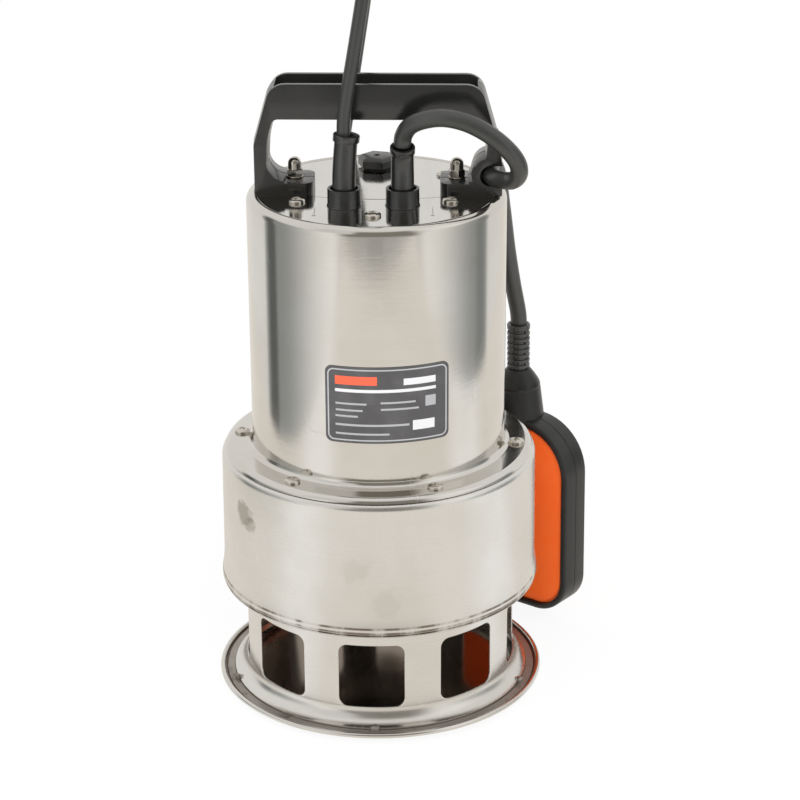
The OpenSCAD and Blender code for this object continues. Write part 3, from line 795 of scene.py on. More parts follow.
@dataclass(frozen=True)
class Moulded:
    """Moulded plastic or rubber with a fine grain, dust and slightly worn high spots.

    Attributes:
        name: The material's name.
        colour: Its base colour.
        worn: The colour of dust and wear.
        rough: Its mean roughness.
        grain: Depth of the grain in metres.
        scale: Fineness of the grain.
        dust: How much dust lies on it.
        coat: Weight of a clear gloss on top.
        shine: How strongly it reflects seen straight on.
        parting: Angle in degrees of the handle's plane with a mould line, or None.
    """

    name: str
    colour: Point3
    worn: Point3
    rough: float = 0.45
    grain: float = 3e-5
    scale: float = 900.0
    dust: float = 0.35
    coat: float = 0.0
    shine: float = 0.3
    parting: float | None = None

    def material(self) -> bpy.types.Material:
        """Builds the material.

        Returns:
            The material.
        """
        board = Board(self.name)
        place = board.place()
        x, y, z = board.split(place)
        grain = board.noise(place, self.scale, 2.0, 0.6)
        cloud = board.noise(place, 38.0, 4.0, 0.6)
        specks = board.noise(place, 420.0, 2.0, 0.5).rise(0.66, 0.74)
        amount = cloud.rise(0.45, 0.8) * self.dust + specks * self.dust * 0.5
        height = grain + cloud * 0.6
        colour = board.mix(amount, self.colour, self.worn)
        rough = self.rough + (cloud - 0.5) * 0.2 + (grain - 0.5) * 0.1
        if self.parting is not None:
            turn = math.radians(self.parting)
            lean = (z - FOOT_TOP * MM).greater(0.0) * HANDLE_LEAN
            line = abs(y * math.cos(turn) - x * math.sin(turn) + lean).rise(0.00062, 0.00035)
            height = height - line * 6
            rough = rough + line * 0.5
            colour = board.mix(line, colour, (0.002, 0.002, 0.002))
        board.set(
            Base_Color=colour,
            Roughness=rough.greater(0.05),
            Coat_Weight=self.coat,
            Coat_Roughness=0.25,
            Specular_IOR_Level=self.shine,
            Normal=board.bump(height, self.grain),
        )
        return board.material


@dataclass(frozen=True)
class Plate:
    """Dark printed plate with a thin silver line inside its edge and plain generic bars.

    Attributes:
        name: The material's name.
        width: Width of the plate in millimetres.
        height: Height of the plate in millimetres.
        corner: Radius of its corners.
    """

    name: str
    width: float
    height: float
    corner: float

    def frame_mask(self, board: Board, u: Value, v: Value, inset: float, line: float) -> Value:
        """Returns a mask of a line that runs round the plate, inset millimetres from its edge.

        Args:
            board: The material's board; not used.
            u: Distance across from the middle.
            v: Distance up from the middle.
            inset: The line's distance from the edge.
            line: Half its width.

        Returns:
            A value that is 1 on the line.
        """
        r = self.corner - inset * 0.3
        qx = (abs(u) - (self.width / 2 - inset - r)).greater(0.0)
        qy = (abs(v) - (self.height / 2 - inset - r)).greater(0.0)
        edge = (qx * qx + qy * qy) ** 0.5
        return abs(edge - r).rise(line, line * 0.45)

    def bar(self, u: Value, v: Value, box: tuple[float, float, float, float]) -> Value:
        """Returns a mask of a plain bar: its centre, length and thickness in millimetres."""
        cx, cy, length, thick = box
        return abs(u - cx).rise(length / 2, length / 2 - 0.15) * abs(v - cy).rise(thick / 2, thick / 2 - 0.15)

    def material(self) -> bpy.types.Material:
        """Builds the material from the plate's own UV map, which is in millimetres from its centre.

        Returns:
            The material.
        """
        board = Board(self.name)
        place = board.place()
        u, v, _ = board.split(board.node("ShaderNodeUVMap", {"uv_map": "plate"}, {}).outputs[0])
        smudge = board.noise(place, 90.0, 3.0).rise(0.4, 0.8)
        colour = board.mix(smudge, (0.062, 0.060, 0.062), (0.085, 0.082, 0.083))
        light, faint, orange = (0.60, 0.60, 0.61), (0.33, 0.33, 0.34), (0.74, 0.10, 0.045)
        bars = (
            (-15.2, 12.4, 20.0, 4.4, orange), (15.1, 11.6, 15.9, 3.4, light),
            (-1.0, 7.3, 48.4, 1.7, light), (-17.6, 0.7, 15.0, 1.1, faint),
            (-18.5, -2.6, 13.0, 1.1, faint), (-19.7, -5.6, 11.0, 1.1, faint),
            (4.7, 1.4, 16.7, 1.1, faint), (5.5, -1.9, 18.2, 1.1, faint),
            (-7.6, -10.0, 35.2, 1.2, faint), (-12.3, -14.5, 25.7, 1.1, faint),
            (20.4, 1.0, 5.4, 5.4, faint), (17.0, -10.6, 11.0, 5.0, light),
        )
        for cx, cy, length, thick, shade in bars:
            colour = board.mix(self.bar(u, v, (cx, cy, length, thick)), colour, shade)
        rim = self.frame_mask(board, u, v, 1.5, 0.42)
        colour = board.mix(rim * 0.9, colour, (0.60, 0.61, 0.64))
        board.set(
            Base_Color=colour,
            Metallic=rim * 0.6,
            Roughness=0.34 + board.noise(place, 300.0) * 0.1,
            Normal=board.bump(board.noise(place, 500.0, 2.0), 1e-5),
        )
        return board.material


@dataclass(frozen=True)
class Cast:
    """Cast, sintered or laminated material of an inner part.

    Attributes:
        name: The material's name.
        colour: Its base colour.
        dark: Its colour in the hollows.
        rough: Its roughness.
        metallic: How metallic it is.
        layers: Number of layers or turns per metre along Z that show as fine lines, or 0.
        depth: Depth of its bumps in metres.
    """

    name: str
    colour: Point3
    dark: Point3
    rough: float = 0.5
    metallic: float = 1.0
    layers: float = 0.0
    depth: float = 1e-4

    def material(self) -> bpy.types.Material:
        """Builds the material.

        Returns:
            The material.
        """
        board = Board(self.name)
        place = board.place()
        _, _, z = board.split(place)
        bumps = board.noise(place, 420.0, 4.0, 0.65)
        cloud = board.noise(place, 50.0, 3.0)
        height = bumps
        if self.layers:
            line = (z * (self.layers * 2 * math.pi)).sine() * 0.5 + 0.5
            height = height * 0.3 + line
        board.set(
            Base_Color=board.mix((1 - height) * 0.5 + cloud * 0.3, self.colour, self.dark),
            Metallic=self.metallic,
            Roughness=self.rough + (bumps - 0.5) * 0.2,
            Normal=board.bump(height, self.depth),
        )
        return board.material


HOUSING = Steel(
    "housing_steel", (0.72, 0.70, 0.665), rough=0.11, change=0.06, lines=4e-6, waver=6e-6, scratched=0.3
)
CASING = Steel(
    "casing_steel",
    (0.77, 0.755, 0.725),
    rough=0.28,
    change=0.10,
    lines=9e-6,
    stains=(
        (-56.5, 105.5, 8.5, 0.5), (-52.0, 101.0, 5.0, 0.35),
        (-7.7, 91.0, 8.0, 0.09), (3.5, 74.0, 9.0, 0.08),
    ),
    heat=(58.8, 61.0),
)
STRAINER = Steel("strainer_steel", (0.75, 0.735, 0.705), rough=0.26, heat=(57.4,))
BASE = DishSteel("base_steel", (0.72, 0.70, 0.67), rough=0.18)
BRIGHT = Steel("bright_steel", (0.74, 0.72, 0.69), rough=0.12, change=0.06, grain=Grain.NONE, lines=2e-6)
TURNED = Steel("turned_steel", (0.62, 0.61, 0.59), rough=0.2, change=0.06, lines=1e-5)
SCREW = Steel("screw_steel", (0.66, 0.62, 0.57), rough=0.17, change=0.06, grain=Grain.NONE, lines=2e-6)
MIRROR = Polished("cover_mirror")
HANDLE_PLASTIC = Moulded(
    "handle_plastic", (0.0085, 0.0085, 0.0080), (0.024, 0.024, 0.0225), 0.20, 2e-5, shine=0.8, parting=-1.2
)
BLACK_PLASTIC = Moulded("black_plastic", (0.0075, 0.0077, 0.0074), (0.03, 0.029, 0.027), 0.26, shine=0.8)
SLEEVE_RUBBER = Moulded(
    "sleeve_rubber", (0.0085, 0.0088, 0.0084), (0.03, 0.03, 0.028), 0.22, 2e-5, 600.0, shine=1.0
)
CABLE_RUBBER = Moulded(
    "cable_rubber", (0.021, 0.0215, 0.0198), (0.045, 0.045, 0.042), 0.36, 2e-5, 700.0, shine=0.8
)
FLOAT_SHELL = Moulded(
    "float_shell_plastic", (0.0105, 0.0105, 0.0100), (0.04, 0.04, 0.037), 0.34, 3e-5, 500.0, shine=0.4
)
FLOAT_PANEL = Moulded(
    "float_panel_plastic", (1.0, 0.15, 0.022), (1.0, 0.20, 0.055), 0.40, 1e-5, 300.0, 0.3, 0.15, shine=0.25
)
SEAL_RUBBER = Moulded("seal_rubber", (0.012, 0.012, 0.012), (0.04, 0.04, 0.04), 0.6)
WHITE_PLASTIC = Moulded("white_plastic", (0.72, 0.70, 0.65), (0.55, 0.52, 0.46), 0.4)
CERAMIC = Moulded("ground_ceramic", (0.75, 0.73, 0.69), (0.6, 0.58, 0.54), 0.25, 5e-6)
CAST_ALLOY = Cast("cast_alloy", (0.52, 0.52, 0.51), (0.30, 0.30, 0.29), 0.5)
LAMINATION = Cast("laminated_iron", (0.30, 0.31, 0.33), (0.12, 0.12, 0.13), 0.45, 1.0, 1000.0, 2e-4)
WINDINGS = Cast("copper_windings", (0.62, 0.25, 0.10), (0.28, 0.09, 0.03), 0.35, 0.8, 700.0, 4e-4)


class Paint:
    """Builds each finish once and puts it on pieces."""

    made: dict[str, bpy.types.Material] = {}

    @classmethod
    def get(cls, finish: object) -> bpy.types.Material:
        """Returns the finish's material.

        Args:
            finish: The finish.

        Returns:
            Its one material.
        """
        if finish.name not in cls.made:
            cls.made[finish.name] = finish.material()
        return cls.made[finish.name]

    @classmethod
    def on(cls, piece: bpy.types.Object, finish: object) -> bpy.types.Object:
        """Puts the finish on a whole piece and returns it.

        Args:
            piece: The piece.
            finish: Its finish.

        Returns:
            The same piece.
        """
        if not piece.data.materials:
            piece.data.materials.append(cls.get(finish))
        for slot in piece.material_slots:
            slot.link = "OBJECT"
            slot.material = cls.get(finish)
        return piece


def settle(
    piece: bpy.types.Object, finish: object, body: str, nodes: Sequence[str] = ()
) -> bpy.types.Object:
    """Dresses a finished piece, makes it ride on its body and hides the nodes that it stands for.

    Args:
        piece: The finished piece.
        finish: Its finish.
        body: The body that it rides on.
        nodes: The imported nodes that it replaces.

    Returns:
        The same piece.
    """
    piece.data.materials.clear()
    piece.data.materials.append(Paint.get(finish))
    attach(piece, body)
    if nodes:
        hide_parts(*nodes)
    LOG.info("%s: %d faces", piece.name, len(piece.data.polygons))
    return piece


# ---------------------------------------------------------------- geometry nodes


class RepeatTree:
    """A Geometry Nodes tree that repeats one mesh round an axis or up a line."""

    def __init__(self, name: str) -> None:
        """Builds the tree with its named inputs.

        Args:
            name: The tree's name.
        """
        self.tree = bpy.data.node_groups.new(name, "GeometryNodeTree")
        face = self.tree.interface
        face.new_socket("Geometry", in_out="INPUT", socket_type="NodeSocketGeometry")
        face.new_socket("Geometry", in_out="OUTPUT", socket_type="NodeSocketGeometry")
        self.ids = {}
        for label, kind in (
            ("Count", "NodeSocketInt"),
            ("Radius", "NodeSocketFloat"),
            ("Start Angle", "NodeSocketFloat"),
            ("Step Angle", "NodeSocketFloat"),
            ("Height", "NodeSocketFloat"),
            ("Step Height", "NodeSocketFloat"),
            ("Material", "NodeSocketMaterial"),
        ):
            self.ids[label] = face.new_socket(label, in_out="INPUT", socket_type=kind).identifier
        start = self.add("NodeGroupInput")
        end = self.add("NodeGroupOutput")
        index = self.add("GeometryNodeInputIndex").outputs[0]
        turn = self.maths("MULTIPLY_ADD", index, start.outputs["Step Angle"], start.outputs["Start Angle"])
        x = self.maths("MULTIPLY", self.maths("SINE", turn), start.outputs["Radius"])
        out = self.maths("MULTIPLY", self.maths("COSINE", turn), start.outputs["Radius"])
        y = self.maths("MULTIPLY", out, -1.0)
        z = self.maths("MULTIPLY_ADD", index, start.outputs["Step Height"], start.outputs["Height"])
        place = self.add("ShaderNodeCombineXYZ", {0: x, 1: y, 2: z}).outputs[0]
        spin = self.add("ShaderNodeCombineXYZ", {2: turn}).outputs[0]
        points = self.add("GeometryNodePoints", {"Count": start.outputs["Count"], "Position": place})
        copies = self.add(
            "GeometryNodeInstanceOnPoints",
            {"Points": points.outputs[0], "Instance": start.outputs["Geometry"], "Rotation": spin},
        )
        whole = self.add("GeometryNodeRealizeInstances", {0: copies.outputs[0]})
        dressed = self.add(
            "GeometryNodeSetMaterial", {0: whole.outputs[0], "Material": start.outputs["Material"]}
        )
        self.tree.links.new(dressed.outputs[0], end.inputs[0])

    def add(self, kind: str, values: dict | None = None, operation: str | None = None) -> bpy.types.Node:
        """Adds a node with values or links for its inputs.

        Args:
            kind: The node's type.
            values: Values or links of its inputs.
            operation: A Math node's operation.

        Returns:
            The node.
        """
        node = self.tree.nodes.new(kind)
        if operation:
            node.operation = operation
        for key, value in (values or {}).items():
            if isinstance(value, bpy.types.NodeSocket):
                self.tree.links.new(value, node.inputs[key])
            else:
                node.inputs[key].default_value = value
        return node

    def maths(self, operation: str, *values: object) -> bpy.types.NodeSocket:
        """Returns the result of a Math node."""
        return self.add("ShaderNodeMath", dict(enumerate(values)), operation).outputs[0]

    def repeat(
        self, piece: bpy.types.Object, name: str, finish: object, **sizes: float
    ) -> bpy.types.Object:
        """Repeats a piece and returns the result as a plain mesh.

        Args:
            piece: The mesh that is repeated; it is used up.
            name: The result's name.
            finish: The finish of the copies.
            **sizes: Values of the tree's inputs, with spaces written as underscores.

        Returns:
            The new piece.
        """
        modifier = piece.modifiers.new("repeat", "NODES")
        modifier.node_group = self.tree
        for label, value in sizes.items():
            modifier[self.ids[label.replace("_", " ")]] = value
        modifier[self.ids["Material"]] = Paint.get(finish)
        return applied(piece, name)


# ---------------------------------------------------------------- cords


def coil_line(cable: float) -> list[Point3]:
    """Returns the power cable's coil: a line that spirals in and out again, in four layers.

    Args:
        cable: The cable's diameter.

    Returns:
        The coil's points, with one lead point at each end.
    """
    centre, outer, inner = (-2.0, 186.0), 54.0, 24.5
    layers, turns, rise, strap = 4, 4.25, 7.0, 0.8

    def point(turn: float) -> Point3:
        """Returns the line's point after a number of turns.

        Args:
            turn: Number of turns from the start.

        Returns:
            The point.
        """
        k = math.floor(turn / turns)
        f = turn / turns - k
        r = outer - (outer - inner) * f if k % 2 == 0 else inner + (outer - inner) * f
        climbs = [min(max((turn - n * turns + 0.25) / 0.5, 0), 1) for n in range(1, layers)]
        z = strap + cable / 2 + rise * sum(c * c * (3 - 2 * c) for c in climbs)
        a = math.radians(180 - 360 * turn)
        return centre[0] + r * math.cos(a), centre[1] + r * math.sin(a), z

    steps = 48
    line = [point(i / steps) for i in range(round(layers * turns * steps) + 1)]
    first, last = line[0], line[-1]
    return [(first[0], first[1] - cable, first[2]), *line, (last[0], last[1] + cable, last[2])]


@dataclass
class PowerCable:
    """The mains lead: it rises from its gland, arches over, comes down behind and lies coiled."""

    diameter: float = 6.5
    route: tuple[Point3, ...] = (
        (-14.6, -24.2, 289.5), (-14.3, -24.6, 298), (-12.8, -25.2, 309), (-10.0, -26, 325),
        (-7.1, -26.5, 342), (-4.2, -26, 360), (-1.6, -23, 380), (0.5, -15, 399), (2, -2, 414),
        (2.8, 16, 423), (3, 36, 425.5),
        (2.4, 56, 422), (1, 74, 413), (-0.8, 88, 398), (-2.5, 97, 378), (-4.5, 101, 354), (-6.8, 102, 330),
        (-11.3, 102.5, 300), (-16.4, 103, 268), (-22, 103.5, 234), (-30, 104, 198), (-38, 104.5, 160),
        (-44.5, 105, 120), (-49.5, 105.5, 80), (-53, 107, 46), (-55.2, 111, 20), (-56, 121, 7),
        (-56, 136, 3.3), (-56, 158, 3.25), (-56, 179.5, 4.05),
    )
    tail: tuple[Point3, ...] = (
        (-56, 192.5, 25.05), (-55.2, 199, 27.5), (-51, 205.5, 33), (-44, 208.5, 39.5), (-34.5, 208.5, 44.8),
        (-25, 208, 47.3), (-16.5, 208, 47.55), (-8, 208, 47.6),
    )
    plug_place: Point3 = (-8, 208, 47.6)

    def build(self) -> None:
        coil = coil_line(self.diameter)
        parts = [smooth_path(self.route, 3.0), np.array(coil[1:-1]), smooth_path(self.tail, 3.0)]
        path = np.concatenate(parts)
        path[:, 2] = np.maximum(path[:, 2], self.diameter / 2 + 0.02)
        cable = tube("power_lead", path, self.diameter / 2, 16)
        nodes = ["power_cable", "power_cable_coil", "power_cable_tail"]
        settle(cable, CABLE_RUBBER, PUMP, nodes)
        plug = self.plug()
        pins = Paint.on(bpy.data.objects["plug_pins"], BRIGHT)
        tie = Paint.on(bpy.data.objects["coil_tie"], BLACK_PLASTIC)

    def plug(self) -> bpy.types.Object:
        """Makes the plug: a ribbed tail, a grip and a round face.

        Returns:
            The plug, dressed.
        """
        turned = lathe(
            "plug_raw",
            [(0, 0), (4.6, 0), (5, 0.6)]
            + [(5.4 + 0.6 * i + (0.0 if i % 2 else 0.7), 2.4 + 2.2 * i) for i in range(6)]
            + [(9, 16.6), (9.6, 18), (12, 19), (13.4, 23), (14.6, 29)]
            + arc(17.2, 31.8, 1.8, 180, 90, 4)[1:]
            + arc(17.6, 43.2 - 1.2, 1.4, 0, 90, 4)
            + [(16.2, 43.4), (15.6, 41.8), (0, 41.8)],
            96,
        )
        x, y, z = self.plug_place
        lying = Matrix.Rotation(math.pi / 2, 4, "Y")
        turned.data.transform(Matrix.Translation(Vector((x, y, z)) * MM) @ lying)
        turned.name = "plug_body"
        return settle(turned, BLACK_PLASTIC, PUMP, ["mains_plug"])


@dataclass
class FloatCable:
    """The float switch's cable: a loop from its gland through the clip, then down to the float."""

    diameter: float = 8.4
    loop: tuple[Point3, ...] = (
        (12.8, -24.2, 285), (13.4, -25, 290), (16.5, -28, 295.4), (22.7, -31.5, 299.1), (31.5, -34.5, 301.0),
        (41.5, -36.5, 299.5), (51, -38, 295.2), (59.5, -38, 288.7), (65.5, -36, 281), (67, -32.5, 274),
        (64.4, -27, 268.9), (59, -20.5, 267.1), (55.5, -14, 266.5), (54.5, -7, 266.5), (54.5, 4, 266.5),
        (54.5, 15, 266.5),
    )
    drop: tuple[Point3, ...] = (
        (55.4, 19, 265), (56.8, 24.5, 261.8), (58.9, 32, 254), (60.5, 40, 242), (62.5, 48, 226),
        (64.9, 56, 206.5), (67.9, 62.5, 187), (70.8, 66.5, 171), (71.5, 67.5, 163.5),
    )

    def build(self) -> None:
        path = smooth_path(self.loop + self.drop, 1.5)
        cable = tube("float_lead", path, self.diameter / 2, 24)
        cable.data.materials.append(Paint.get(CABLE_RUBBER))
        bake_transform(cable)
        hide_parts("float_cable_loop", "float_cable_drop")


# ---------------------------------------------------------------- the pump's outside


@dataclass
class BaseAndStrainer:
    """The dish with its rolled rim, and the strainer shell that is tacked to it."""

    rim_r: float = 82.0
    roll_r: float = 1.3
    floor_low: float = 3.2
    floor_high: float = 4.2
    wall_r: float = 68.4
    sheet: float = 0.8
    flare_r: float = 8.0
    flare_z: float = 13.0
    flange_low: float = 56.3
    flange_high: float = 58.3
    windows: int = 8
    first_window: float = -88.5
    pitch: float = 43.0
    window_half: float = 13.6
    window_low: float = 13.1
    window_high: float = 46.5
    window_corner: float = 4.5
    weld_count: int = 5
    weld_r: float = 74.2
    weld_rise: float = 1.3

    def base(self) -> bpy.types.Object:
        """Makes the dish: a plate with a pressed ring to stand on, and a rim rolled up and over.

        Returns:
            The dish.
        """
        low, high, roll = self.floor_low, self.floor_high, self.rim_r - self.roll_r
        ring_under = [(66.0, low), (66.5, 3.0), (67.6, 0.15), (67.9, 0), (71.5, 0), (71.8, 0.15), (72.9, 3.0)]
        rim = [(80.3, low - 0.1), *arc(roll, high + 0.1, self.roll_r, -90, 170, 26), (79.42, 3.75)]
        gutter = [(78.9, 3.72), (78.6, 3.95), (78.3, high), (73.0, high)]
        ring_above = [(72.6, 3.9), (71.4, 1), (68, 1), (66.8, 3.9), (66.4, high)]
        outline = [(0, low), *ring_under, (73.4, low), *rim, *gutter, *ring_above, (0, high)]
        return lathe("base_dish", outline, 256)

    def welds(self, tree: RepeatTree) -> bpy.types.Object:
        """Makes the tack welds between the dish and the strainer's lip.

        Args:
            tree: The tree that repeats a mesh.

        Returns:
            The beads in one piece.
        """
        low = -self.weld_rise
        bead = lathe("weld", [(0, low), (2.3, low), (2.25, 0.0), (1.8, 0.6), (1.0, 0.95), (0, 1.05)], 16)
        return tree.repeat(
            bead, "tack_welds", BASE, Count=self.weld_count, Radius=self.weld_r * MM,
            Height=(self.floor_high + self.weld_rise) * MM,
            Start_Angle=math.radians(-1), Step_Angle=math.radians(360 / self.weld_count),
        )

    def wall_point(self, turn: float, z: float, out: float) -> Point3:
        """Returns the point on the wall at an angle from the front, a height and a distance out."""
        r = self.wall_r + out
        return r * math.sin(turn), -r * math.cos(turn), z

    def windowed_wall(self) -> bpy.types.Object:
        """Makes the wall: each window is ringed by quads whose rim is rounded over.

        Returns:
            The wall with its two skins.
        """
        low, high = self.flare_z, self.flange_low + 0.2
        width = math.radians(self.pitch) * self.wall_r
        middle, height = (self.window_low + self.window_high) / 2, self.window_high - self.window_low
        hole = rounded_rectangle(2 * self.wall_r * math.radians(self.window_half), height, self.window_corner)
        cell = rounded_rectangle(width, high - low, 0.0)
        cell[:, 1] += (low + high) / 2
        hole[:, 1] += middle
        steps, edge = 6, 0.28
        t, count = self.sheet, len(hole)
        away = hole - hole.mean(axis=0)
        away /= np.linalg.norm(away, axis=1)[:, None]
        shells = []
        for side in (0.0, -t):
            rings = [hole + (cell - hole) * (k / steps) for k in range(steps + 1)]
            rings[0] = hole + away * edge
            shells.append([(ring, side) for ring in rings])
        rim = [(hole + away * edge * (1 - math.sin(a)), -edge * (1 - math.cos(a))) for a in (0.5, 1.05)]
        rim.append((hole, -edge))
        back = [(ring, -t - depth) for ring, depth in rim[::-1]]
        loop = shells[0][::-1] + rim + back + shells[1]
        vertices, faces = [], []
        for n in range(self.windows):
            turn = math.radians(self.first_window + self.pitch * n)
            base = len(vertices)
            for ring, out in loop:
                vertices += [self.wall_point(turn + s / self.wall_r, z, out) for s, z in ring]
            for i in range(len(loop) - 1):
                a, b = base + i * count, base + (i + 1) * count
                faces += [[a + j, b + j, b + (j + 1) % count, a + (j + 1) % count] for j in range(count)]
            a, b = base, base + (len(loop) - 1) * count
            for j in range(count):
                k = (j + 1) % count
                if abs(cell[j][1] - cell[k][1]) < 1e-6:
                    faces.append([a + j, a + k, b + k, b + j])
        self.blank(vertices, faces, sorted({round(float(z), 6) for z in cell[:, 1]}))
        wall = to_object("strainer_wall", np.array(vertices), faces)
        weld = wall.modifiers.new("weld", "WELD")
        weld.merge_threshold = 2e-6
        return applied(wall, "strainer_wall")

    def blank(self, vertices: list[Point3], faces: list[list[int]], levels: Sequence[float]) -> None:
        """Adds the plain strip with the seam that fills the wall behind the last window.

        Args:
            vertices: The wall's points, which grow.
            faces: The wall's faces, which grow.
            levels: Heights of the points on the neighbouring cells' edges.
        """
        start = self.first_window + self.pitch * (self.windows - 0.5)
        end = self.first_window - self.pitch / 2 + 360
        turns = np.radians(np.linspace(start, end, 7))
        base, row, layer = len(vertices), len(turns), len(turns) * len(levels)
        for out in (0.0, -self.sheet):
            vertices += [self.wall_point(turn, z, out) for z in levels for turn in turns]
        for j in range(len(levels) - 1):
            for i in range(row - 1):
                a = base + j * row + i
                faces.append([a, a + 1, a + row + 1, a + row])
                faces.append([layer + b for b in (a, a + row, a + row + 1, a + 1)])
        for i in range(row - 1):
            a, top = base + i, base + layer - row + i
            faces.append([a, a + layer, a + layer + 1, a + 1])
            faces.append([top, top + 1, top + layer + 1, top + layer])

    def flare(self) -> bpy.types.Object:
        """Makes the wall's foot, which curves out onto the dish.

        Returns:
            The foot.
        """
        cx = self.wall_r + self.flare_r
        outer = arc(cx, self.flare_z, self.flare_r, 180, 256, 20)
        inner = arc(cx, self.flare_z, self.flare_r + self.sheet, 257, 180, 20)
        return lathe("flare", outer + inner, 256)

    def flange(self) -> bpy.types.Object:
        """Makes the two sheets' flange on top of the wall, with a groove between their round edges.

        Returns:
            The flange.
        """
        low, high, wall, edge, r, fillet = self.flange_low, self.flange_high, self.wall_r, 78.9, 0.45, 1.2
        outline = [(56, low), (wall, low - 0.01), *arc(wall + fillet, low - fillet, fillet, 180, 90, 6)[1:]]
        outline += [*arc(edge - r, low + r, r, -90, 60, 5), (edge - 0.5, (low + high) / 2)]
        outline += [*arc(edge - r, high - r, r, -60, 90, 5), (56, high)]
        return lathe("flange", outline, 256)

    def build(self, tree: RepeatTree) -> None:
        """Makes and dresses the pieces.

        Args:
            tree: The tree that repeats a mesh.
        """
        settle(self.base(), BASE, PUMP, ["base_plate"])
        welds = self.welds(tree)
        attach(welds, PUMP)
        strainer = join("strainer_shell", [self.windowed_wall(), self.flare(), self.flange()])
        settle(strainer, STRAINER, PUMP, ["strainer"])


@dataclass
class Housing:
    """The pump casing, the motor housing that stands in it, its cover and the rating plate."""

    casing_r: float = 77.8
    casing_low_r: float = 78.2
    bead_r: float = 79.4
    seam_z: float = 58.3
    casing_top: float = 125.2
    housing_r: float = 62.5
    flange_top: float = 128.0
    rim_z: float = 256.7
    lip_r: float = 57.65
    plate_turn: float = 5.6
    plate_half: float = 27.6
    plate_z: float = 169.8
    plate_h: float = 38.4
    plate_corner: float = 3.2
    cover_r: float = 57.6
    cover_low: float = 254.9

    def casing(self) -> bpy.types.Object:
        """Makes the satin casing: a turned-out lower edge, a slight taper and a round shoulder.

        Returns:
            The casing.
        """
        t, r = 1.0, 3.5
        cz = self.casing_top - r
        cx = self.casing_r - r
        out = [(self.bead_r - 0.35, self.seam_z), (self.bead_r, self.seam_z + 0.35), (self.bead_r, 60.0)]
        out += [(self.bead_r - 0.15, 61.0), (self.bead_r - 0.45, 62.5), (self.casing_low_r + 0.3, 66.0)]
        out += [(self.casing_low_r, 70.0), (self.casing_r, cz), *arc(cx, cz, r, 4, 90, 14)]
        out.append((46, self.casing_top))
        back = [(46, self.casing_top - t), *arc(cx, cz, r - t, 90, 0, 8), (self.casing_low_r - t, 66)]
        back += [(self.bead_r - t, 60.5), (self.bead_r - t, self.seam_z)]
        return lathe("casing_shell", out + back, 320)

    def housing(self) -> bpy.types.Object:
        """Makes the polished housing: flange, fillet, straight wall and rounded top edge.

        Returns:
            The housing.
        """
        t, fillet, top, edge = 0.8, 3.0, 4.6, 3.7
        ex, ez = 72.8, self.flange_top - edge
        fx, fz = self.housing_r + fillet, self.flange_top + fillet
        tx, tz = self.housing_r - top, self.rim_z - top
        out = [*arc(ex, ez, edge, 15, 90, 12), *arc(fx, fz, fillet, 270, 180, 14)]
        out += [*arc(tx, tz, top, 0, 76, 16), (58.55, self.rim_z - 0.14), (58.1, self.rim_z - 0.36)]
        out += [(self.lip_r, self.rim_z - 0.68), (self.lip_r, self.rim_z - 0.9)]
        ledge, seat, inner = 252.1, 36.5, self.lip_r + t
        back = [(self.lip_r, ledge + t), (seat, ledge + t), (seat, ledge), (inner, ledge), (inner, 254.0)]
        back += [*arc(tx, tz, top - t, 80, 0, 8), *arc(fx, fz, fillet + t, 180, 270, 8)]
        back += [*arc(ex, ez, edge - t, 90, 22, 6)]
        return lathe("housing_shell", out + back, 320)

    def cover(self) -> bpy.types.Object:
        """Makes the polished cover, whose holes are hidden under what stands on it."""
        r, low, high, edge = self.cover_r, self.cover_low, COVER_TOP, 0.2
        return lathe("cover_plate", [(0, low), (r, low), (r, high - edge), (r - edge, high), (0, high)], 256)

    def plate(self) -> bpy.types.Object:
        """Makes the curved rating plate with its own UV map in millimetres.

        Returns:
            The plate.
        """
        width = 2 * self.housing_r * math.radians(self.plate_half)
        inner, outer = 0.03, 0.42
        insets = np.linspace(1.2, self.plate_h / 2 - 0.05, 12).tolist()
        steps = [(inset, inner) for inset in insets[::-1]]
        steps += [(0.0, inner), (0.0, outer - 0.1), (0.1, outer)]
        steps += [(inset, outer) for inset in insets]
        rings, flat = [], []
        for inset, out in steps:
            corner = max(self.plate_corner - inset, 0.04)
            loop = rounded_rectangle(width - 2 * inset, self.plate_h - 2 * inset, corner, 24, 6)
            turn = math.radians(self.plate_turn) + loop[:, 0] / self.housing_r
            r = self.housing_r + out
            rings.append(np.stack([r * np.sin(turn), -r * np.cos(turn), self.plate_z + loop[:, 1]], axis=1))
            flat += loop.tolist()
        piece = loft("rating_label", rings)
        layer = piece.data.uv_layers.new(name="plate")
        for corner in piece.data.loops:
            layer.data[corner.index].uv = flat[corner.vertex_index]
        return piece

    def build(self) -> None:
        """Makes and dresses the pieces."""
        settle(self.casing(), CASING, PUMP, ["pump_casing"])
        settle(self.housing(), HOUSING, PUMP, ["motor_housing"])
        settle(self.cover(), MIRROR, PUMP, ["top_cover"])
        width = 2 * self.housing_r * math.radians(self.plate_half)
        finish = Plate("rating_plate_print", width, self.plate_h, self.plate_corner)
        settle(self.plate(), finish, PUMP, ["rating_plate"])


@dataclass(frozen=True)
class ScrewRow:
    """A row of equal screws round the pump's axis.

    Attributes:
        name: The piece's name.
        node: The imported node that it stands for.
        count: Number of screws.
        size: Radius of a head in millimetres.
        radius: Radius of the row in millimetres.
        start: The first screw's angle from the front, in degrees.
        step: The angle from one screw to the next, in degrees.
        height: Height of the surface that the heads stand on.
        shift: How far the row stands to the right of the axis.
    """

    name: str
    node: str
    count: int
    size: float
    radius: float
    start: float
    step: float
    height: float
    shift: float = 0.0


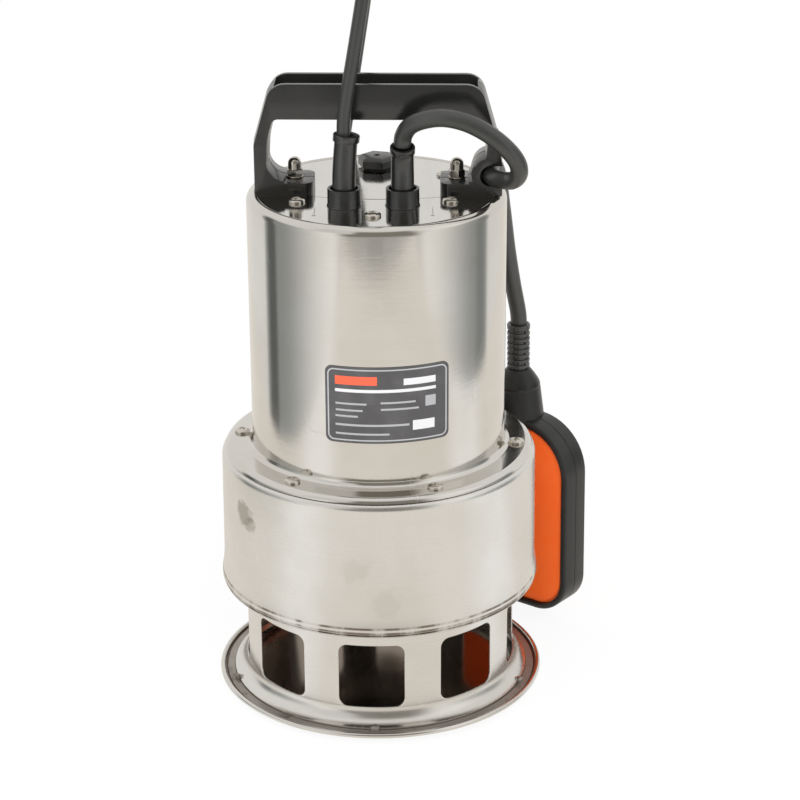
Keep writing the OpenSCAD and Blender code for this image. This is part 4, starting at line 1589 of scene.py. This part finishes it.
@dataclass
class Fasteners:
    """Pan head screws, and the dome nuts with washers that hold the handle."""

    rows: tuple[ScrewRow, ...] = (
        ScrewRow("flange_screw_heads", "flange_screws", 6, 3.85, 68.6, 24.3, 60.0, 128.0),
        ScrewRow("cover_screw_heads", "cover_screws", 5, 3.95, 41.0, -125.0, 62.5, COVER_TOP, COVER_SHIFT),
    )
    head_h: float = 2.15
    stud_x: float = 38.7
    washer_z: float = 262.5
    nut_shift: float = -0.7

    def pan_head(self, r: float) -> bpy.types.Object:
        """Makes one low dome of a head with a cross recess, its underside on z = 0.

        Args:
            r: The head's radius in millimetres.

        Returns:
            The head.
        """
        rows, sides, h = 34, 72, self.head_h
        edge_z = h * 0.30
        vertices: list[Point3] = []
        for i in range(rows + 1):
            radius = r * math.sin(i / rows * math.pi / 2)
            for j in range(sides):
                a = 2 * math.pi * j / sides
                x, y = radius * math.cos(a), radius * math.sin(a)
                z = edge_z + (h - edge_z) * math.sqrt(max(0.0, 1 - (radius / r) ** 2.3))
                u, v = (x + y) / math.sqrt(2), (x - y) / math.sqrt(2)
                vertices.append((x, y, z - max(self.slot_depth(u, v, r), self.slot_depth(v, u, r))))
        foot = r * 0.985
        vertices += [(x, y, 0.0) for x, y in arc(0, 0, foot, 0, 360, sides)[:-1]]
        vertices.append((0.0, 0.0, 0.0))
        faces = []
        for i in range(rows + 1):
            a, b = i * sides, (i + 1) * sides
            faces += [[a + j, b + j, b + (j + 1) % sides, a + (j + 1) % sides] for j in range(sides)]
        last = (rows + 1) * sides
        faces += [[len(vertices) - 1, last + (j + 1) % sides, last + j] for j in range(sides)]
        head = to_object("head", np.array(vertices), faces, 50)
        weld = head.modifiers.new("weld", "WELD")
        weld.merge_threshold = 1e-7
        return applied(head, "head", 50)

    def slot_depth(self, along: float, across: float, r: float) -> float:
        """Returns how deep the recess is at a point, for one of its two slots.

        Args:
            along: Distance along the slot.
            across: Distance across it.
            r: The head's radius.

        Returns:
            The depth.
        """
        side = min(max((0.40 - abs(across)) / 0.12, 0), 1)
        end = min(max((r * 0.52 - abs(along)) / (r * 0.14), 0), 1)
        return 0.9 * side * end

    def nut(self) -> bpy.types.Object:
        """Makes a dome nut on its washer.

        Returns:
            The nut with its washer.
        """
        flats, r = 7.0, 3.2
        section = [(2.1, 0), (3.95, 0), (4.05, 0.12), (4.05, 0.68), (3.95, 0.8), (2.1, 0.8)]
        washer = lathe("washer", section, 64)
        rings = []
        for z, inset in ((0.8, 0.25), (1.05, 0.0), (3.9, 0.0), (4.3, 0.4)):
            reach = flats / math.sqrt(3) - inset
            hexagon = arc(0, 0, reach, 12, 312, 5)
            rings.append(np.array([(x, y, z) for x, y in hexagon]))
        body = loft("hexagon", rings)
        dome = lathe("dome", [(0, 4.1), (r + 0.1, 4.1), (r, 4.8), *arc(0, 6.8, r, 0, 90, 14)], 48)
        return join("dome_nut", [washer, body, dome])

    def build(self, tree: RepeatTree) -> None:
        """Makes and dresses the screws and nuts.

        Args:
            tree: The tree that repeats a mesh.
        """
        for row in self.rows:
            heads = tree.repeat(
                self.pan_head(row.size), row.name, SCREW, Count=row.count, Radius=row.radius * MM,
                Height=row.height * MM, Start_Angle=math.radians(row.start), Step_Angle=math.radians(row.step),
            )
            heads.data.transform(Matrix.Translation((row.shift * MM, 0, 0)))
            settle(heads, SCREW, PUMP, [row.node])
        nuts = tree.repeat(
            self.nut(), "dome_nuts", SCREW, Count=2, Radius=self.stud_x * MM, Height=self.washer_z * MM,
            Start_Angle=math.pi / 2, Step_Angle=math.pi,
        )
        nuts.data.transform(Matrix.Translation((self.nut_shift * MM, 0, 0)) @ Handle().place())
        settle(nuts, SCREW, PUMP, ["handle_cap_nuts", "handle_washers"])


@dataclass
class Glands:
    """The two cable glands and the hexagonal plug on the cover."""

    x: float = 13.7
    y: float = -24.2
    power_top: float = 290.4
    float_top: float = 285.0
    vent: Point = (-0.4, 38.5)

    def collar(self, name: str, x: float) -> bpy.types.Object:
        """Makes the cup that stands on the cover round a sleeve.

        Args:
            name: The piece's name.
            x: Place of its axis along X.

        Returns:
            The cup.
        """
        z = COVER_TOP
        profile = [(5.85, z), (8.2, z), (8.3, z + 0.3), (7.95, z + 0.9), (7.9, z + 8.2)]
        profile += arc(7.6, z + 8.3, 0.3, 0, 90, 3)
        profile += [*arc(6.9, z + 8.3, 0.3, 90, 180, 3), (6.6, z + 2), (5.85, z + 2)]
        return lathe(name, profile, 96, (x, self.y))

    def sleeve(
        self, name: str, x: float, top: float, r: float, ring: float, cable: float
    ) -> bpy.types.Object:
        """Makes a sleeve with a thin ring at its top, and a recess where the cable leaves it.

        Args:
            name: The piece's name.
            x: Place of its axis along X.
            top: Height of its top.
            r: Its radius.
            ring: The radius of the ring at its top.
            cable: The cable's radius.

        Returns:
            The upright sleeve.
        """
        base = COVER_TOP - 8
        levels = np.linspace(COVER_TOP + 6, top - 4.6, 9).tolist()
        profile = [(0, base), (r - 0.1, base), *((r + 0.05 - 0.02 * i, z) for i, z in enumerate(levels))]
        profile += [(r - 0.05, top - 3.4), (ring - 0.15, top - 3.25), (ring, top - 3.0)]
        profile += [(ring, top - 0.5), *arc(ring - 0.4, top - 0.4, 0.4, 0, 90, 4), (cable + 0.5, top)]
        profile += [(cable + 0.15, top - 0.5), (cable + 0.05, top - 1.6), (0, top - 1.6)]
        return lathe(name, profile, 96, (x, self.y))

    def vent_plug(self) -> bpy.types.Object:
        """Makes the hexagonal plug with a chamfered top and a small centre hole.

        Returns:
            The plug.
        """
        flats, z, turn = 17.0, COVER_TOP, 46
        side = flats / math.sqrt(3)
        sections = [
            (rounded_hexagon(side + reach, 0.6, turn), height)
            for height, reach in ((1.0, -0.5), (1.35, 0.0), (4.6, 0.0), (5.6, -0.9), (6.1, -1.9), (6.2, -2.2))
        ]
        half = 180 / len(sections[0][0])
        for height, radius in ((6.2, 1.6), (5.9, 1.4), (3.6, 1.3), (3.5, 0.05)):
            hole = arc(0, 0, radius, turn + half, turn + half + 360, len(sections[0][0]))[:-1]
            sections.append((hole, height))
        x, y = self.vent
        rings = [np.array([(x + px, y + py, z + height) for px, py in loop]) for loop, height in sections]
        return loft("vent_plug_head", rings)

    def build(self) -> None:
        """Makes and dresses the pieces."""
        left_x, right_x = COVER_SHIFT - self.x, COVER_SHIFT + self.x
        collars = join("gland_cups", [self.collar("left", left_x), self.collar("right", right_x)])
        settle(collars, BLACK_PLASTIC, PUMP, ["gland_collars"])
        root = COVER_TOP + 8
        left = self.sleeve("power_sleeve", left_x, self.power_top, 5.55, 6.3, 3.25)
        bend(left, (left_x, self.y, root), self.power_top - root, (6.5, 0.0))
        settle(left, SLEEVE_RUBBER, PUMP, ["power_cable_sleeve"])
        right = self.sleeve("float_sleeve", right_x, self.float_top, 5.45, 5.9, 4.2)
        bend(right, (right_x, self.y, root + 8), self.float_top - root - 8, (1.0, 16.0))
        settle(right, SLEEVE_RUBBER, PUMP, ["float_cable_sleeve"])
        settle(self.vent_plug(), BLACK_PLASTIC, PUMP, ["vent_plug"])


def rounded_hexagon(reach: float, corner: float, turn: float) -> list[Point]:
    """Returns a hexagon with slightly round corners as a counter-clockwise loop.

    Args:
        reach: Distance from the middle to a corner.
        corner: The corners' radius.
        turn: The first corner's angle in degrees.

    Returns:
        The points, about the middle.
    """
    points: list[Point] = []
    inner = reach - corner / math.cos(math.radians(30))
    for i in range(6):
        a = 60 * i + turn
        cx, cy = inner * math.cos(math.radians(a)), inner * math.sin(math.radians(a))
        points += arc(cx, cy, corner, a - 30, a + 30, 4)
    return points


@dataclass
class Handle:
    """The black carry handle: its sides rise to a mould line, and its edges are rounded over."""

    edge: float = 0.9
    crown: float = 0.8
    turn: float = -1.2
    shift: float = 0.45
    clip: Point = (54.05, 266.5)
    clip_r: float = 6.5
    hollow: Point = (1.1, 2.2)
    hollow_x: Point = (44.0, 53.5)
    hollow_z: Point = (275.0, 294.5)
    deepest_z: float = 285.0
    hollow_reach: float = 9.5
    ear_x: float = 59.6
    ear_z: float = 272.0
    ear_slope: float = 0.178
    clip_side: float = 50.0
    cuts: tuple[float, ...] = (277, 280, 283, 286, 289, 292)

    def leg(self, x: float, z: float, moved: float) -> float:
        """Returns a point's x once the legs' inner sides are hollowed and the clip's ear is drawn in.

        Args:
            x: The point's x.
            z: Its height.
            moved: Its x after other changes.

        Returns:
            The new x.
        """
        (near, far), (low, high) = self.hollow_x, self.hollow_z
        if near < abs(x) < far and low < z < high:
            share = max(0.0, 1 - ((z - self.deepest_z) / self.hollow_reach) ** 2)
            return moved + math.copysign(self.hollow[1 if x > 0 else 0] * share, x)
        ear = self.ear_x - max(0.0, z - self.ear_z) * self.ear_slope
        return min(moved, ear) if x > self.clip_side else moved

    def place(self) -> Matrix:
        """Returns the move from the handle's own frame to the pump's."""
        return Matrix.Translation((self.shift * MM, 0, 0)) @ Matrix.Rotation(math.radians(self.turn), 4, "Z")

    def build(self) -> None:
        """Makes and dresses the handle."""
        source = bpy.data.objects["carry_handle"].data.copy()
        work = bmesh.new()
        work.from_mesh(source)
        work.transform(self.place().inverted())
        bmesh.ops.remove_doubles(work, verts=work.verts, dist=1e-6)
        bmesh.ops.dissolve_limit(work, angle_limit=math.radians(0.5), verts=work.verts, edges=work.edges)
        whole = [*work.verts, *work.edges, *work.faces]
        bmesh.ops.bisect_plane(work, geom=whole, plane_co=(0, 0, 0), plane_no=(0, 1, 0), dist=1e-7)
        for height in self.cuts:
            whole = [*work.verts, *work.edges, *work.faces]
            bmesh.ops.bisect_plane(work, geom=whole, plane_co=(0, 0, height * MM), plane_no=(0, 0, 1))
        work.normal_update()
        for vertex in work.verts:
            x, y, z = (value / MM for value in vertex.co)
            near_clip = math.hypot(x - self.clip[0], z - self.clip[1]) < self.clip_r
            if abs(y) < 1e-3 and z > FOOT_TOP and not near_clip:
                out = Vector((vertex.normal.x, 0, vertex.normal.z))
                vertex.co += out.normalized() * self.crown * MM
            vertex.co.x = self.leg(x, z, vertex.co.x / MM) * MM
            vertex.co.y -= max(0.0, z - FOOT_TOP) * HANDLE_LEAN * MM
        work.transform(self.place())
        work.to_mesh(source)
        work.free()
        piece = bpy.data.objects.new("handle_raw", source)
        bpy.context.scene.collection.objects.link(piece)
        bevel = piece.modifiers.new("bevel", "BEVEL")
        bevel.width = self.edge * MM
        bevel.segments = 3
        bevel.limit_method = "ANGLE"
        bevel.angle_limit = math.radians(28)
        settle(applied(piece, "handle"), HANDLE_PLASTIC, PUMP, ["carry_handle"])


@dataclass
class Outlet:
    """The threaded outlet at the back, whose axis runs along Y."""

    bore_r: float = 17.5
    neck_r: float = 19.7
    thread_r: float = 20.95
    z: float = 83.0
    pitch: float = 2.309
    start: float = 96.0
    end: float = 120.0
    flange_r: float = 24.4
    casing_reach: float = 78.3
    sides: int = 96
    rows: int = 200

    def ring(self, radius: float | np.ndarray, y: float | np.ndarray) -> np.ndarray:
        """Returns a ring about the outlet's axis; radius and y may change round it.

        Args:
            radius: The ring's radius.
            y: Its place along the axis.

        Returns:
            The points.
        """
        angles = np.linspace(0, 2 * math.pi, self.sides, endpoint=False)
        along = np.broadcast_to(y, angles.shape)
        return np.stack([radius * np.cos(angles), along, self.z - radius * np.sin(angles)], axis=1)

    def thread(self) -> list[np.ndarray]:
        """Returns the rings of a helical thread that fades at both ends.

        Returns:
            The rings, from the casing outwards.
        """
        rings = []
        root = self.neck_r + 0.1
        turns = np.linspace(0, 1, self.sides, endpoint=False)
        for y in np.linspace(self.start, self.end - 0.2, self.rows):
            tooth = np.abs((y / self.pitch + turns) % 1.0 - 0.5) * 2
            fade = min(1.0, (y - self.start) / 1.5, (self.end - y) / 1.2)
            depth = np.clip(tooth * 1.25, 0, 1) * max(fade, 0.0)
            rings.append(self.ring(root + (self.thread_r - root) * depth, y))
        return rings

    def collar(self) -> bpy.types.Object:
        """Makes the flange that is welded round the outlet, its back cut to the casing's curve.

        Returns:
            The flange.
        """
        inner, outer = self.neck_r - 0.2, self.flange_r
        turns = np.linspace(0, 2 * math.pi, self.sides, endpoint=False)
        depth = {r: np.sqrt(self.casing_reach**2 - (r * np.cos(turns)) ** 2) for r in (outer, inner)}
        back = [self.ring(r, y) for r, y in depth.items()]
        front = [self.ring(inner, 85.0), self.ring(outer - 0.6, 85.0), self.ring(outer, 84.4)]
        return loft("collar", front + back, closed=True)

    def build(self) -> None:
        """Makes and dresses the outlet."""
        tail = [self.ring(self.bore_r, 75.2), self.ring(self.neck_r, 75.2), self.ring(self.neck_r, 95.9)]
        mouth = [self.ring(18.6, self.end), self.ring(self.bore_r + 0.3, self.end)]
        mouth.append(self.ring(self.bore_r, self.end - 0.3))
        stub = loft("stub", (tail + self.thread() + mouth)[::-1], closed=True)
        piece = join("outlet", [stub, self.collar()])
        settle(piece, TURNED, PUMP, ["discharge_outlet"])


@dataclass
class FloatSwitch:
    """The float: two black shells with an orange panel on each side, a neck and a ribbed boot."""

    width: float = 74.0
    thick: float = 19.0
    low: float = 8.6
    high: float = 114.0
    top_r: float = 28.0
    low_r: float = 19.0
    lip: float = 3.1
    recess: float = 1.7
    edge: float = 1.6
    turn: float = 37.0
    place: Point = (71.5, 67.5)
    lean: float = 0.45
    ribs: int = 7
    rib_pitch: float = 2.9

    def ring(self, margin: float, y: float) -> np.ndarray:
        """Returns the body's outline drawn in by a margin, at a depth y before it is placed.

        Args:
            margin: How far the outline is drawn in.
            y: The depth.

        Returns:
            The points.
        """
        w, h = self.width / 2, (self.high - self.low) / 2
        middle = (self.high + self.low) / 2
        loop: list[Point] = []
        top, low = self.top_r, self.low_r
        for sx, sz, r, start in ((1, 1, top, 0), (-1, 1, top, 90), (-1, -1, low, 180), (1, -1, low, 270)):
            loop += arc(sx * (w - r), middle + sz * (h - r), r - margin, start, start + 90, 14)
        return np.array([(x, y, z) for x, z in loop])

    def placed(self, piece: bpy.types.Object) -> bpy.types.Object:
        """Turns a piece made about the float's own axis into its place beside the pump.

        Args:
            piece: The piece.

        Returns:
            The same piece.
        """
        top = Matrix.Translation((0, 0, 0.14))
        tilt = top @ Matrix.Rotation(-math.radians(self.lean), 4, "Y") @ top.inverted()
        turn = Matrix.Rotation(-math.radians(self.turn), 4, "Z")
        piece.data.transform(Matrix.Translation(Vector((*self.place, 0)) * MM) @ tilt @ turn)
        return piece

    def shell(self, side: int) -> bpy.types.Object:
        """Makes one black half: a frame round the panel, rounded over outside.

        Args:
            side: -1 for the front half, 1 for the back.

        Returns:
            The half.
        """
        half, edge, lip = self.thick / 2, self.edge, self.lip
        turns = np.radians((22, 45, 68, 90))
        steps = [(lip + 0.1, 0.05), (0.3, 0.05), (0.0, 0.35), (0.0, half - edge)]
        steps += [(edge * (1 - math.cos(a)), half - edge * (1 - math.sin(a))) for a in turns]
        steps += [(lip - 0.35, half), (lip - 0.05, half - 0.25), (lip + 0.05, half - self.recess)]
        rings = [self.ring(margin, side * y) for margin, y in steps]
        if side > 0:
            rings.reverse()
        name = "float_front" if side < 0 else "float_back"
        return loft(name, rings, closed=True)

    def panel(self, side: int) -> bpy.types.Object:
        """Makes one orange panel: a lower border, then a slightly crowned face.

        Args:
            side: -1 for the front one, 1 for the back.

        Returns:
            The panel.
        """
        top = self.thick / 2 - self.recess
        steps = [(0.15, 0.1), (0.15, top - 1.0), (0.4, top - 0.8), (1.1, top - 0.75), (1.35, top - 0.1)]
        steps += [(1.8, top), (5.0, top + 0.05), (10.0, top + 0.1), (15.4, top + 0.12)]
        rings = [self.ring(self.lip + margin, side * y) for margin, y in steps]
        if side > 0:
            rings.reverse()
        return loft("panel", rings)

    def neck(self) -> bpy.types.Object:
        """Makes the tapered neck with its ring line.

        Returns:
            The neck.
        """
        bulge = [(12.2, 109), (13.2, 110.6), (13.6, 112), (13.6, 112.8), (13.3, 115), (12.5, 121.5)]
        ring_line = [(11.6, 128.8), (11.2, 129.2), (11.15, 129.9), (11.4, 130.4)]
        shoulder = [(11.1, 131.8), (10.2, 133.4), (8.0, 136.6), (6.4, 138.6), (6.0, 139)]
        return lathe("neck", [(0, 109), *bulge, *ring_line, *shoulder, (0, 139)], 96)

    def sector(self, middle: float, half: float, section: Sequence[Point]) -> bpy.types.Object:
        """Sweeps a section of points (radius, height) round the boot's axis.

        Args:
            middle: The angle of the sector's middle in degrees.
            half: Half the angle that it takes.
            section: The section's points, counter-clockwise seen along the sweep.

        Returns:
            The closed piece.
        """
        turns = np.radians(np.linspace(middle - half, middle + half, 7))
        rings = [np.array([(r * math.cos(a), r * math.sin(a), z) for r, z in section]) for a in turns]
        return loft("sector", rings)

    def boot(self) -> bpy.types.Object:
        """Makes the boot: a core with ribs, whose grooves are bridged on alternate sides.

        Returns:
            The boot.
        """
        core = [(0, 116), (5.0, 116), (4.95, 150), (4.9, 160.3), (5.7, 160.6), (6.0, 161.0), (6.0, 163.0)]
        core += [(5.6, 163.5), (4.6, 163.5), (4.3, 162.9), (0, 162.9)]
        pieces = [lathe("core", core, 64)]
        root, groove_r = 4.6, 5.75
        for i in range(self.ribs):
            z = 140 + self.rib_pitch * i
            rib = [(root, z), (5.6, z), (5.9, z + 0.3), (5.9, z + 1.5), (5.6, z + 1.8), (root, z + 1.8)]
            pieces.append(lathe("rib", rib, 64))
            bridge = [(root, z + 1.6), (groove_r, z + 1.6), (groove_r, z + 3.1), (root, z + 3.1)]
            middle, half = (90, 18) if i % 2 else (0, 15)
            pieces += [self.sector(middle + turn, half, bridge) for turn in (0, 180)]
        return join("boot", pieces)

    def build(self) -> None:
        """Makes and dresses the float."""
        front = self.placed(join("float_front", [self.shell(-1), self.neck()]))
        settle(front, FLOAT_SHELL, FLOAT, ["float_front_shell"])
        back = self.placed(self.shell(1))
        settle(back, FLOAT_SHELL, FLOAT, ["float_rear_shell"])
        panels = self.placed(join("float_panels", [self.panel(-1), self.panel(1)]))
        settle(panels, FLOAT_PANEL, FLOAT, ["float_core"])
        boot = self.placed(self.boot())
        settle(boot, SLEEVE_RUBBER, FLOAT, ["float_boot"])


# ---------------------------------------------------------------- the inner parts


INNER = {
    BRIGHT: (
        "strainer_screws", "upper_bearing_outer", "lower_bearing_outer", "handle_studs",
        "upper_bearing_inner", "lower_bearing_inner", "impeller_nut", "float_ball",
    ),
    BLACK_PLASTIC: ("suction_plate", "volute", "gland_lock_nuts", "impeller", "float_microswitch"),
    SEAL_RUBBER: (
        "outlet_seal", "shaft_lip_seal", "housing_gasket", "cover_gasket", "vent_plug_seal",
        "seal_bellows",
    ),
    CAST_ALLOY: ("seal_plate", "lower_bracket", "upper_bracket"),
    CERAMIC: ("seal_seat", "seal_head"),
    LAMINATION: ("stator_core", "rotor_core"),
    WINDINGS: ("stator_windings",),
    WHITE_PLASTIC: ("capacitor", "terminal_block", "float_switch_tube"),
    TURNED: ("clamp_ring", "motor_shaft"),
}


def dress_inner_parts() -> None:
    """Gives each node that stays as it is its finish."""
    for finish, nodes in INNER.items():
        for node in nodes:
            Paint.on(bpy.data.objects[node], finish)
        LOG.info("%s: %d inner nodes", finish.name, len(nodes))


# ---------------------------------------------------------------- camera, floor and light


@dataclass
class Studio:
    """Camera, floor and soft light."""

    place: Point3 = (26.35, -1161.29, 612.04)
    heading: float = 0.7702
    pitch: float = 0.3803
    roll: float = -0.0054
    focal: float = 2529.62
    table: tuple[float, float, float, float] = (-0.43, -0.85, 0.54, 4.0)

    def camera(self) -> None:
        """Makes the camera."""
        data = bpy.data.cameras.new("camera")
        data.sensor_width = 36.0
        data.lens = self.focal * 36.0 / 800
        data.clip_end = 50.0
        camera = bpy.data.objects.new("camera", data)
        bpy.context.scene.collection.objects.link(camera)
        camera.matrix_world = (
            Matrix.Translation(Vector(self.place) * MM)
            @ Matrix.Rotation(math.radians(self.heading), 4, "Z")
            @ Matrix.Rotation(math.pi / 2 - self.pitch, 4, "X")
            @ Matrix.Rotation(self.roll, 4, "Z")
        )
        bpy.context.scene.camera = camera

    def floor(self) -> None:
        """Makes the pale table top: near white where it is seen, with the pump's shadow; where mirrored it
        glows warm grey with painted bright bands to the left and right, as pools of lamp light.
        """
        x0, y0, x1, y1 = self.table
        mesh = bpy.data.meshes.new("table")
        mesh.from_pydata([(x0, y0, 0), (x1, y0, 0), (x1, y1, 0), (x0, y1, 0)], [], [(0, 1, 2, 3)])
        table = bpy.data.objects.new("table", mesh)
        bpy.context.scene.collection.objects.link(table)
        board = Board("table_white")
        board.set(Base_Color=(0.9, 0.9, 0.9), Roughness=0.9)
        camera, mirror = board.rays()
        x, y, _ = board.split(board.place())
        turn = board.turn(x, y)
        # Painted light: in reflections the table glows warm grey, but for bright bands to the left and right
        # that stand for pools of lamp light.
        left = abs(turn + math.radians(51)).sweep(22, 4)
        right = abs(turn - math.radians(80)).sweep(26, 6)
        mirrored = board.mix(left.greater(right), (0.84, 0.80, 0.735), (1.0, 0.99, 0.97))
        colour = board.mix(camera, mirrored, (1.0, 1.0, 1.0))
        glow = board.node("ShaderNodeEmission", {}, {"Color": colour, "Strength": 1.0})
        share = camera.greater(mirror) * 0.9
        ends = {0: share, 1: board.shader.outputs[0], 2: glow.outputs[0]}
        mixed = board.node("ShaderNodeMixShader", {}, ends)
        board.link(mixed.outputs[0], board.out.inputs["Surface"])
        mesh.materials.append(board.material)

    def room(self, tree: Tree) -> bpy.types.NodeSocket:
        """Returns the colour of the room that the steel mirrors: pale behind, grey walls, dark ahead.

        Args:
            tree: The world's node tree.

        Returns:
            The colour.
        """
        x, y, z = tree.split(tree.node("ShaderNodeTexCoord", {}, {}).outputs["Generated"])
        turn = tree.turn(x, y)
        back = turn * -1
        side = abs(turn - math.radians(4))
        walls = side.sweep(24, 30) * back.sweep(116, 112) * turn.sweep(117, 111)
        corners = back.sweep(96, 101) * back.sweep(112, 108) * 0.8
        corners = corners + turn.sweep(96, 102) * turn.sweep(112, 107) * 0.3
        grey = tree.mix(side.sweep(38, 98), (1.0, 0.99, 0.96), (0.33, 0.345, 0.34))
        grey = tree.mix(corners, grey, (0.08, 0.082, 0.08))
        front = side.sweep(42, 26)
        person = abs(turn).sweep(9, 5) * z.rise(-0.345, -0.33) * z.rise(-0.275, -0.30)
        left = abs(turn + math.radians(42)).sweep(26, 16)
        right = abs(turn - math.radians(68)).sweep(22, 14)
        boxes = left.greater(right) * z.rise(0.30, 0.38) * z.rise(0.88, 0.80)
        box_colour = tree.mix(left, (1.0, 0.99, 0.97), (0.75, 0.74, 0.725))
        ahead = tree.mix(z.rise(-0.12, 0.05), (0.46, 0.45, 0.43), (0.25, 0.235, 0.205))
        room = tree.mix(walls * z.rise(0.45, 0.2), (0.86, 0.85, 0.83), grey)
        room = tree.mix(front * z.rise(0.92, 0.7), room, ahead)
        room = tree.mix(person, room, (0.03, 0.032, 0.04))
        return tree.mix(boxes, room, box_colour)

    def world(self) -> None:
        """Makes the surroundings: plain white, with the room in what the steel mirrors."""
        world = bpy.data.worlds.new("room")
        world.use_nodes = True
        bpy.context.scene.world = world
        tree = Tree(world.node_tree)
        white = (1.0, 1.0, 1.0)
        camera, mirror = tree.rays()
        seen = tree.mix(camera, tree.mix(mirror, white, self.room(tree)), white)
        light = tree.node("ShaderNodeBackground", {}, {"Color": seen, "Strength": 1.0})
        out = tree.node("ShaderNodeOutputWorld", {}, {})
        tree.link(light.outputs[0], out.inputs["Surface"])

    def lamp(self, name: str, place: Point3, size: Point, power: float) -> None:
        """Makes a soft lamp that points at the pump's middle and isn't mirrored in its steel.

        Args:
            name: The lamp's name.
            place: Where it stands.
            size: Its width and height.
            power: Its power in watts.
        """
        data = bpy.data.lights.new(name, "AREA")
        data.shape = "RECTANGLE"
        data.size, data.size_y = size
        data.energy = power
        lamp = bpy.data.objects.new(name, data)
        bpy.context.scene.collection.objects.link(lamp)
        lamp.location = place
        lamp.visible_glossy = False
        lamp.rotation_mode = "QUATERNION"
        lamp.rotation_quaternion = (Vector((0, 0, 0.15)) - Vector(place)).to_track_quat("-Z", "Y")

    def build(self) -> None:
        """Makes everything round the pump."""
        bpy.context.scene.view_settings.view_transform = "Standard"
        self.floor()
        self.world()
        self.lamp("key", (0.3, -1.7, 1.3), (1.4, 1.1), 25.0)
        self.lamp("fill", (-1.3, -1.0, 1.1), (1.0, 1.0), 7.0)


def main() -> None:
    """Builds the camera and cords, then every other piece, in order."""
    logging.basicConfig(level=logging.INFO, format="%(name)s %(message)s")
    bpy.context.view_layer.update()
    studio = Studio()
    studio.camera()
    PowerCable().build()
    FloatCable().build()
    tree = RepeatTree("repeat")
    BaseAndStrainer().build(tree)
    Housing().build()
    Fasteners().build(tree)
    Glands().build()
    Handle().build()
    Outlet().build()
    FloatSwitch().build()
    dress_inner_parts()
    studio.build()


if __name__ == "__main__":
    main()
